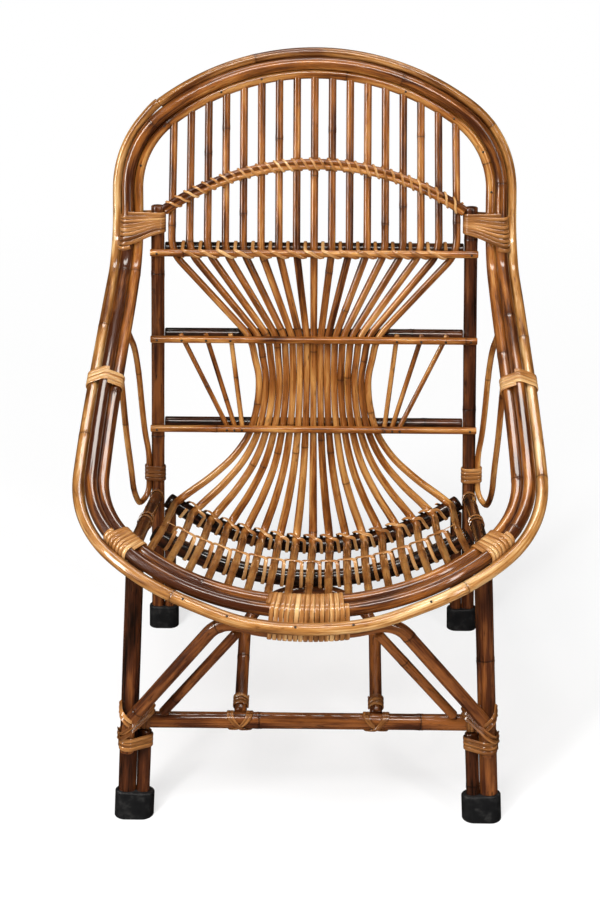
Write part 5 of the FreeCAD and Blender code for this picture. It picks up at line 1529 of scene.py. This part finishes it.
NAIL_STEPS = np.array((-0.8, 0, 0.45, 0.8, 1))  # along a nail, in head thicknesses
NAIL_WIDTHS = np.array((0.45, 1, 0.93, 0.62, 0.22))  # of its head there
RAIL_NAIL, RIM_NAIL = (0.004, 0.0012), (0.0036, 0.001)  # diameter and thickness of a head
INNER_NAILS = (-0.327, -0.250, -0.147, -0.082, 0.142, 0.227, 0.300, 0.368)  # lengths along the hoop
OUTER_NAILS = (-1.287, -1.206, -1.148, 1.150, 1.247)


def nail_head(seat, way, dia, thick, seed):
    """A nail head: a circle carried outwards along the nail, drawn in over its dome."""
    steps = NAIL_STEPS * thick
    path = seat + way * steps[:, None]
    side = np.cross(way, UP if abs(way[2]) < 0.8 else ACROSS) + np.zeros_like(path)
    return carried(path, side, ring(10), NAIL_WIDTHS * dia / 2, steps + seed, np.zeros((len(steps), 3)))


class BAMBOO_OT_nails(Operator):
    """Nail heads on the back rails and on the rim"""

    bl_idname = "bamboo_chair.nails"
    bl_label = "Nails"

    def execute(self, context):
        plan = Layout()
        seats = [place(seat) for name in RAILS for seat in plan.nail_seats(name) for _, place in SIDES]
        heads = [nail_head(seat, AHEAD, *RAIL_NAIL, k) for k, seat in enumerate(seats)]
        put_piece("nail_heads_rails", heads, "nail", "rail_nails")
        inner, outer = np.array(INNER_NAILS), np.array(OUTER_NAILS)
        rows = (
            (inner, plan.on_hoop(inner, plan.inner), plan.rim.inner_dia),
            (outer, plan.outer_line(outer), plan.rim.outer_dia),
        )
        heads = []
        for t, line, dia in rows:
            facing = plan.hoop(t)[2]
            seats = line + facing * plan.drawn(dia, t)[:, None] / 2
            for seat, way in zip(seats, facing):
                heads.append(nail_head(seat, way, *RIM_NAIL, len(heads)))
        put_piece("nail_heads_rim", heads, "nail")
        return {"FINISHED"}


class BAMBOO_OT_bindings(Operator):
    """Cane strips wound round the bundles of the hoop, the legs, the loops and the prop"""

    bl_idname = "bamboo_chair.bindings"
    bl_label = "Bindings"

    def execute(self, context):
        plan = Layout()
        wrap, rim, front, back, seat = plan.wrap, plan.rim, plan.front, plan.back, plan.seat
        pitch = wrap.pitch

        def rim_cane(line):
            return lambda lengths, place, way: (line(lengths), way)

        def rim_crossing(offset):
            """A rim cane where it crosses the planes of a post's frames."""
            table = np.linspace(0, plan.side_end, 4001)
            line = plan.on_hoop(table, offset)

            def member(lengths, place, way):
                t = np.interp(dots(place, way)[:, 0], (line @ way[0])[::-1], table[::-1])
                ahead = plan.on_hoop(t + NEAR, offset) - plan.on_hoop(t - NEAR, offset)
                return plan.on_hoop(t, offset), unit(ahead)

            return member

        def wind(frame_at, members, start, turns):
            return wound(frame_at, members, start, turns, pitch, wrap.thick / 2 + FIT)

        def wind_hoop(members, middle, turns):
            return wind(lambda t: plan.hoop(t)[:4], members, middle - turns * pitch / 2, turns)

        def put(label, node, windings, seed, shades):
            surfaces = strip_pairs(windings, wrap.width, wrap.thick, seed, shades)
            put_piece("strip_" + label, surfaces, "binding", node)

        full = 1 + rim.arm_swell
        pair = [
            (rim_cane(lambda t: plan.on_hoop(t, plan.middle)), rim.middle_dia),
            (rim_cane(lambda t: plan.on_hoop(t, plan.inner)), rim.inner_dia * full),
        ]
        outer = (rim_cane(plan.outer_line), rim.outer_dia * full)
        under = (rim_cane(lambda t: plan.on_hoop(t, plan.brace)), front.brace_dia)
        post = (pole(plan.post_foot, plan.post_way), back.post_dia)

        # A shoulder binding is pushed up along the post, more where it is low, so that it narrows there.
        crossings = ((plan.middle, rim.middle_dia), (plan.inner, rim.inner_dia))
        shoulder = [(rim_crossing(offset), dia) for offset, dia in crossings] + [post]
        tall = wrap.shoulder_turns * pitch
        start = -wrap.shoulder_drop - tall / 2
        frame_at = pole_frame(plan.post_top, plan.post_way)
        path, outward, turns = wind(frame_at, shoulder, start, wrap.shoulder_turns)
        wide = path[:, 0]
        inwards = smooth((wide.max() - wide) / (wide.max() - wide.min()))
        along = dots(path - plan.post_top, plan.post_way) - start
        path = path + plan.post_way * (tall - along) * (wrap.shoulder_fan * inwards)[:, None]
        put("shoulders", "shoulder_bindings", [(path, outward, turns)], 200, (-0.8, -1.1))

        arm = wind_hoop(pair + [outer], plan.bend_end + wrap.arm_run, wrap.arm_turns)
        put("arms", "arm_bindings", [arm], 210, (0.6, 1.6))
        place = plan.hoop_at_half(wrap.corner_half, plan.inner)
        corner = wind_hoop(pair, place, wrap.corner_turns)
        put("corners", "corner_bindings", [corner], 220, (0,))
        path, outward, turns = wind_hoop(pair + [under], plan.half, wrap.front_turns)
        middle = strip(path, outward, wrap.width, wrap.thick, 230, turns)
        put_piece("strip_front", [middle], "binding", "front_binding")

        leg = [
            (pole(plan.leg_foot, plan.leg_way), front.leg_dia),
            (pole(plan.leg_foot + plan.leg_step, plan.leg_way), front.doubler_dia),
            (pole(plan.brace_nodes()[0][0], plan.leg_way), front.brace_dia),
        ]
        tie = [post, (pole(plan.tie_place(seat.tie_height), plan.post_way), seat.loop_dia)]
        foot, _, _, way, half = plan.prop_axis()
        foot = foot + half
        prop = [(pole(foot, way), front.prop_dia)]
        leg_start = (wrap.leg_height - plan.leg_foot[2]) / plan.leg_way[2]
        tie_middle = (seat.tie_height - plan.post_foot[2]) / plan.post_way[2]
        tie_start = tie_middle - wrap.tie_turns * pitch / 2
        windings = [
            wind(pole_frame(plan.leg_foot, plan.leg_way), leg, leg_start, wrap.leg_turns),
            wind(pole_frame(plan.post_foot, plan.post_way), tie, tie_start, wrap.tie_turns),
            wind(pole_frame(foot, way), prop, wrap.prop_start, wrap.prop_turns),
        ]
        shades = (-2.1, -2.3, -0.2, -3.4, -2, -2)
        put("frame", "frame_bindings", windings, 240, shades)
        return {"FINISHED"}


def lash_sides(place, way, facing, reach, front, rear, tall):
    """Nodes down one side, round the rear and up the other side of a front and a rear circle. A front
    pair of canes is taller by the half distance between them."""
    face = square(facing, way)
    side = np.cross(way, face)
    sine = (rear - front) / reach
    cosine = math.sqrt(1 - sine * sine)
    ahead, pair = place + face * reach, side * tall
    right, left = side * cosine + face * sine, face * sine - side * cosine
    back, forth = side * sine - face * cosine, face * cosine + side * sine
    return [
        (ahead + right * front + pair, back, ahead + pair),
        (place + right * rear, back, place),
        (place - face * rear, -side, place),
        (place + left * rear, forth, place),
        (ahead + left * front - pair, forth, ahead - pair),
    ]


def lashing(frame_at, places, reach, front_dia, rear_dia, standoff, tall=0):
    """A strip along a rail: over every crossing cane, and round the rail between them."""
    front, rear = front_dia / 2 + standoff, rear_dia / 2 + standoff
    pitch = places[1] - places[0]
    nodes = []
    for place in places:
        nodes += lash_sides(*frame_at(place - pitch / 2), reach, front, rear, tall)
        point, way, facing = frame_at(place)
        face = square(facing, way)
        slant = unit(np.cross(way, face) * (front + tall) + way * (pitch / math.pi))
        nodes.append((point + face * (reach + front), slant, point + face * reach))
    nodes += lash_sides(*frame_at(places[-1] + pitch / 2), reach, front, rear, tall)
    path, centre = followed(nodes)
    return path, path - centre


ARCH_STRIP = 0.72  # width of the back arch's strip, in lashing widths


class BAMBOO_OT_lashings(Operator):
    """Cane strips that lash the spindles to the upper rail, the back arch and the bearers"""

    bl_idname = "bamboo_chair.lashings"
    bl_label = "Lashings"

    def execute(self, context):
        plan = Layout()
        wrap, s, back = plan.wrap, plan.spindle, plan.back
        standoff = wrap.lash_thick / 2 + FIT
        steps = np.arange(-wrap.lashed_each_side, wrap.lashed_each_side + 1)
        halves = np.arange(-2 * s.each_side, 2 * s.each_side + 1) / 2
        height = plan.rail_height("upper")
        rear = plan.rear_rail_depth(height)
        rests = [plan.seat_rests(k) for k in range(s.each_side + 1)]

        def rail_at(across):
            return vec(across, rear, height), ACROSS, AHEAD

        def arch_at(across):
            place, way, facing = plan.arch_frame(across)
            return place - facing * plan.arch_shift(), way, facing

        def bearer_at(name, pitch, facings):
            def at(across):
                step = abs(across) / pitch
                low = min(int(step + 1e-6), len(facings) - 2)
                facing = facings[low] + (facings[low + 1] - facings[low]) * (step - low)
                place, way = plan.bearer(name, across)
                return place - plan.bearer_sink, way, facing if across >= 0 else mirrored(facing)

            return at

        rail = (rear - plan.front_rail_depth(height), back.front_rail_dia, back.rear_rail_dia, standoff)
        arch = (2 * plan.arch_shift(), back.arch_dia, back.arch_dia, standoff, back.arch_spread)
        slat = s.dia * (1 + s.seat_swell)
        bearer = (touching(plan.bearer_drawn, s.dia), slat, plan.bearer_drawn, standoff)
        runs = [
            lashing(rail_at, steps * s.upper_pitch, *rail),
            lashing(arch_at, halves * (s.upper_pitch + s.top_pitch) / 2, *arch),
        ]
        for name, pitch, column in (("rear", s.rear_pitch, 1), ("front", s.front_pitch, 3)):
            frame_at = bearer_at(name, pitch, [row[column] for row in rests])
            runs.append(lashing(frame_at, steps * pitch, *bearer))
        surfaces = []
        for k, (path, outward) in enumerate(runs):
            turns = travelled(path) / travelled(path)[-1] * len(steps)
            width = wrap.lash_width * (ARCH_STRIP if k == 1 else 1)
            surfaces.append(strip(path, outward, width, wrap.lash_thick, 260 + k, turns, sides=8))
        put_piece("strip_lashings", surfaces, "binding", "cane_lashings")
        return {"FINISHED"}


def cross_tie(centre, axis, front, radius, half, lift):
    """A strip that crosses itself in front of a cane: twice round it, changing sides as a cosine over the
    front half of each turn and straight behind; the second pass rides over the first."""
    turn = np.linspace(0, 2 * math.tau, 144, endpoint=False)
    phase = turn % math.tau
    hand = np.where(turn < math.tau, -1, 1)
    across = half * np.where(phase <= math.pi, hand * np.cos(phase), -hand)
    rise = lift * np.exp(-(((phase - math.pi / 2) / 0.5) ** 2)) * (turn >= math.tau)
    up = np.cross(front, axis)
    outward = up * np.cos(phase)[:, None] + front * np.sin(phase)[:, None]
    return centre + axis * across[:, None] + outward * (radius + rise)[:, None], outward


CROSS_HALVES = (0.0108, 0.0152)  # half widths of the two crossed strips at a prop's foot
TIE_LEAN = math.radians(40)  # of the crossed windings at a leg
TIE_GAP = 0.0005  # between those windings and the middle of the joint
FOOT_RING = 0.009  # place of the stretcher's ring outside the diagonal's foot
POST_RING, BEARER_RING = 0.010, 0.0115  # places of a side rail's rings from post and front bearer
SEAT_LINE = (0.0024, 0.0012)  # width and thickness of the strip along the front bearer
SEAT_LINE_ROOM = 0.0007  # between that strip's middle and the spindles


class BAMBOO_OT_ties(Operator):
    """Crossed strips at the stretcher, rings on the side rails and the line along the front bearer"""

    bl_idname = "bamboo_chair.ties"
    bl_label = "Ties"

    def execute(self, context):
        plan = Layout()
        wrap, front, s = plan.wrap, plan.front, plan.spindle
        thick, pitch = wrap.lash_thick, wrap.lash_width * 1.1
        standoff = thick / 2 + FIT
        _, _, _, prop_way, half = plan.prop_axis()
        centre = plan.on_stretcher(half[0])
        across = front.stretcher_dia / 2 + standoff
        rows = [cross_tie(centre, ACROSS, -prop_way, across, reach, thick) for reach in CROSS_HALVES]

        leg = (pole(plan.leg_foot, plan.leg_way), front.leg_dia)
        brace = (pole(plan.brace_nodes()[0][0], plan.leg_way), front.brace_dia)
        doubler = (pole(plan.leg_foot + plan.leg_step, plan.leg_way), front.doubler_dia)
        crossed = (
            (1, [leg, brace], TIE_GAP, standoff),
            (-1, [leg, doubler, brace], -TIE_GAP - 2 * pitch, standoff + thick),
        )
        for hand, members, first, off in crossed:
            lean = unit(plan.leg_step) * math.sin(TIE_LEAN) * hand
            way = unit(plan.leg_way * math.cos(TIE_LEAN) + lean)
            rows.append(wound(pole_frame(plan.joint, way), members, first, 2, pitch, off)[:2])

        stretcher = (plan.on_stretcher(front.diagonal_foot + FOOT_RING), ACROSS, front.stretcher_dia)
        rail = (plan.rail_rear, plan.rail_way, plan.seat.rail_dia)
        bearer = (-plan.seat.front_reach - plan.rail_rear[1]) / plan.rail_way[1]
        rings = (
            (*stretcher, 0, 3),
            (*rail, POST_RING, 3),
            (*rail, bearer - BEARER_RING - 2 * pitch, 2),
            (*rail, bearer + BEARER_RING, 2),
        )
        for start, way, dia, first, turns in rings:
            members = [(pole(start, way), dia)]
            rows.append(wound(pole_frame(start, way), members, first, turns, pitch, standoff)[:2])
        ties = strip_pairs(rows, wrap.lash_width, thick, 300, (-2.2,), sides=8)
        put_piece("strip_ties", ties, "binding")

        rests = [plan.seat_rests(k) for k in range(s.each_side + 1)]
        over = s.dia * (1 + s.seat_swell) / 2 + SEAT_LINE_ROOM
        facing = np.array([row[3] for row in rests])
        right = np.array([row[2] for row in rests]) + facing * over
        line, face = (np.concatenate((mirrored(half[:0:-1]), half)) for half in (right, facing))
        put_piece("strip_seat_line", [strip(line, face, *SEAT_LINE, 340, sides=8, step=0.004)], "binding")
        return {"FINISHED"}


class BAMBOO_OT_feet(Operator):
    """Black rubber on the four caps of the frame"""

    bl_idname = "bamboo_chair.feet"
    bl_label = "Rubber feet"

    def execute(self, context):
        for end in ("front", "rear"):
            for side, _ in SIDES:
                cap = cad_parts["foot_cap_%s_%s" % (end, side)]
                cap.data.materials.clear()
                cap.data.materials.append(finish("rubber"))
        return {"FINISHED"}


# The stage, in metres.
AIM = (0.0, -0.05, 0.45)  # what lamps and cards face
FLOOR_HALF = 30.0
SQUARE = np.array(((-1.0, -1.0, 0.0), (1.0, -1.0, 0.0), (1.0, 1.0, 0.0), (-1.0, 1.0, 0.0)))
WHITE = (1.0, 1.0, 1.0)
WARM_WHITE = (1.0, 0.97, 0.92)
SCREEN_RADIUS, SCREEN_FOOT, SCREEN_TOP, SCREEN_SIDES = 2.8, 0.001, 3.4, 32
SUN_SPREAD = math.radians(24.0)
LAMP_SIZE = (0.35, 1.3)
CARDS = (  # place, width and height, strength
    ("left_card", (-2.1, -0.95, 1.5), (0.42, 1.9), 30.0),
    ("right_card", (1.6, -1.5, 1.5), (0.16, 1.6), 16.0),
    ("front_card", (0.0, -1.2, 2.3), (2.2, 0.20), 34.0),
    ("top_card", (0.0, 0.5, 2.2), (1.7, 0.26), 14.0),
)


def facing_turn(place, target=AIM):
    """The turn that points a lamp or a card from its place at a target."""
    return (Vector(target) - Vector(place)).to_track_quat("-Z", "Y")


def seen_directly(r):
    """1 for what the camera sees, directly or in a reflection or a clear body, and 0 for light."""
    path = r.add("LightPath").outputs
    seen = r.math("MAXIMUM", path["Is Camera Ray"], path["Is Glossy Ray"])
    return r.math("MAXIMUM", seen, path["Is Transmission Ray"])


def put_stage(name, points, faces, material, in_varnish_only=True):
    """A mesh of the stage."""
    mesh = bpy.data.meshes.new(name)
    mesh.from_pydata(points.tolist(), [], faces)
    mesh.materials.append(material)
    thing = linked(name, mesh)
    if in_varnish_only:
        for kind in ("camera", "diffuse", "shadow", "transmission"):
            setattr(thing, "visible_" + kind, False)


class BAMBOO_OT_stage(Operator):
    """Pale floor, soft light and the camera of the photograph"""

    bl_idname = "bamboo_chair.stage"
    bl_label = "Stage"

    def floor(self, colour):
        """A wide square. It keeps a soft shadow near the chair and fades to white away from it."""

        def paint(r):
            plain = r.shader("BsdfDiffuse", {"Color": colour})
            white = r.shader("Emission", {"Color": WHITE, "Strength": 1.0})
            place = r.add("TexCoord").outputs["Object"]
            away = r.add("VectorMath", {0: place}, operation="LENGTH").outputs["Value"]
            fade = {"Value": away, "From Min": 0.7, "From Max": 2.6, "To Min": 0.70, "To Max": 1.0}
            share = r.math("MULTIPLY", seen_directly(r), r.add("MapRange", fade).outputs[0])
            return r.shader("MixShader", {0: share, 1: plain, 2: white})

        put_stage("floor", SQUARE * FLOOR_HALF, [(0, 1, 2, 3)], painted("pale_floor", paint), False)

    def screen(self):
        """A closed round tent of dark cloth, seen in the varnish only, which keeps the canes deep."""

        def weave(r):
            noise = r.noise(r.add("TexCoord").outputs["Object"], 40.0, 2.0)
            shade = r.ramp(noise, (0.3, (0.010, 0.008, 0.006)), (0.7, (0.020, 0.016, 0.012)))
            return r.shader("BsdfDiffuse", {"Color": shade})

        k = np.arange(SCREEN_SIDES)
        after = (k + 1) % SCREEN_SIDES
        wide = SCREEN_RADIUS * ring(SCREEN_SIDES)[:, ::-1]
        rings = [np.insert(wide, 2, level, axis=1) for level in (SCREEN_FOOT, SCREEN_TOP)]
        walls = np.stack((k, after, after + SCREEN_SIDES, k + SCREEN_SIDES), axis=1).tolist()
        ends = [k.tolist(), (k + SCREEN_SIDES).tolist()]
        put_stage("dark_screen", np.concatenate(rings), walls + ends, painted("dark_cloth", weave))

    def card(self, name, place, size, strength):
        """A bright card, seen in the varnish only: the streaks along the canes."""

        def glow(r):
            return r.shader("Emission", {"Color": WARM_WHITE, "Strength": strength})

        turned = np.array(facing_turn(place).to_matrix())
        corners = (SQUARE[[0, 3, 2, 1]] / 2.0 * (*size, 1.0)) @ turned.T + place
        put_stage(name, corners, [(0, 1, 2, 3)], painted(name, glow))

    def lamp(self, name, place, power, size=None):
        """A rectangular lamp of a size, or a broad sun. Neither shows in the varnish."""
        light = bpy.data.lights.new(name, "AREA" if size else "SUN")
        if size:
            light.shape = "RECTANGLE"
            light.size, light.size_y = size
        else:
            light.angle = SUN_SPREAD
        light.energy = power
        lamp = linked(name, light)
        lamp.location = place
        lamp.rotation_mode = "QUATERNION"
        lamp.rotation_quaternion = facing_turn(place)
        lamp.visible_glossy = False

    def execute(self, context):
        scene = context.scene
        stage = scene.bamboo_chair.stage
        self.floor(stage.floor)
        self.screen()
        for card in CARDS:
            self.card(*card)

        world = bpy.data.worlds.new("studio")
        scene.world = world
        world.use_nodes = True
        r = Recipe(world.node_tree)
        soft, white = (r.shader("Background", {"Color": WHITE, "Strength": s}) for s in (stage.ambient, 1.0))
        mixed = r.shader("MixShader", {0: seen_directly(r), 1: soft, 2: white})
        r.add("OutputWorld", {"Surface": mixed})
        self.lamp("main_light", (-0.5, -1.05, 2.9), stage.sun)
        self.lamp("key_light", (-1.3, -2.2, 2.3), stage.key, LAMP_SIZE)
        self.lamp("fill_light", (1.9, -1.9, 1.9), stage.fill, LAMP_SIZE)

        camera = linked("camera", bpy.data.cameras.new("camera"))
        camera.data.sensor_width = 36.0
        camera.data.lens = stage.lens
        camera.location = stage.place
        flat = math.cos(stage.pitch)
        ahead = (-math.sin(stage.yaw) * flat, math.cos(stage.yaw) * flat, -math.sin(stage.pitch))
        camera.rotation_mode = "QUATERNION"
        camera.rotation_quaternion = facing_turn((0.0, 0.0, 0.0), ahead)
        scene.camera = camera
        scene.view_settings.view_transform = "Standard"
        return {"FINISHED"}


class BAMBOO_PT_chair(Panel):
    """Builds the chair's pieces one group at a time"""

    bl_idname = "BAMBOO_PT_chair"
    bl_label = "Bamboo chair"
    bl_space_type = "VIEW_3D"
    bl_region_type = "UI"
    bl_category = "Bamboo chair"

    def draw(self, context):
        for step in STEPS:
            self.layout.operator(step.bl_idname)


STEPS = (
    BAMBOO_OT_rim,
    BAMBOO_OT_posts,
    BAMBOO_OT_front,
    BAMBOO_OT_seat,
    BAMBOO_OT_back,
    BAMBOO_OT_spindles,
    BAMBOO_OT_loops,
    BAMBOO_OT_nails,
    BAMBOO_OT_bindings,
    BAMBOO_OT_lashings,
    BAMBOO_OT_ties,
    BAMBOO_OT_feet,
    BAMBOO_OT_stage,
)
CLASSES = (
    RimSizes,
    BackSizes,
    SpindleSizes,
    SeatSizes,
    FrontSizes,
    BindingSizes,
    Finishes,
    StageSettings,
    ChairSettings,
    *STEPS,
    BAMBOO_PT_chair,
)


def register():
    for part in CLASSES:
        bpy.utils.register_class(part)
    bpy.types.Scene.bamboo_chair = PointerProperty(type=ChairSettings)


def unregister():
    del bpy.types.Scene.bamboo_chair
    for part in reversed(CLASSES):
        bpy.utils.unregister_class(part)


def main():
    register()
    for step in STEPS:
        group, name = step.bl_idname.split(".")
        getattr(getattr(bpy.ops, group), name)()
    bpy.context.view_layer.update()


if __name__ == "__main__":
    main()
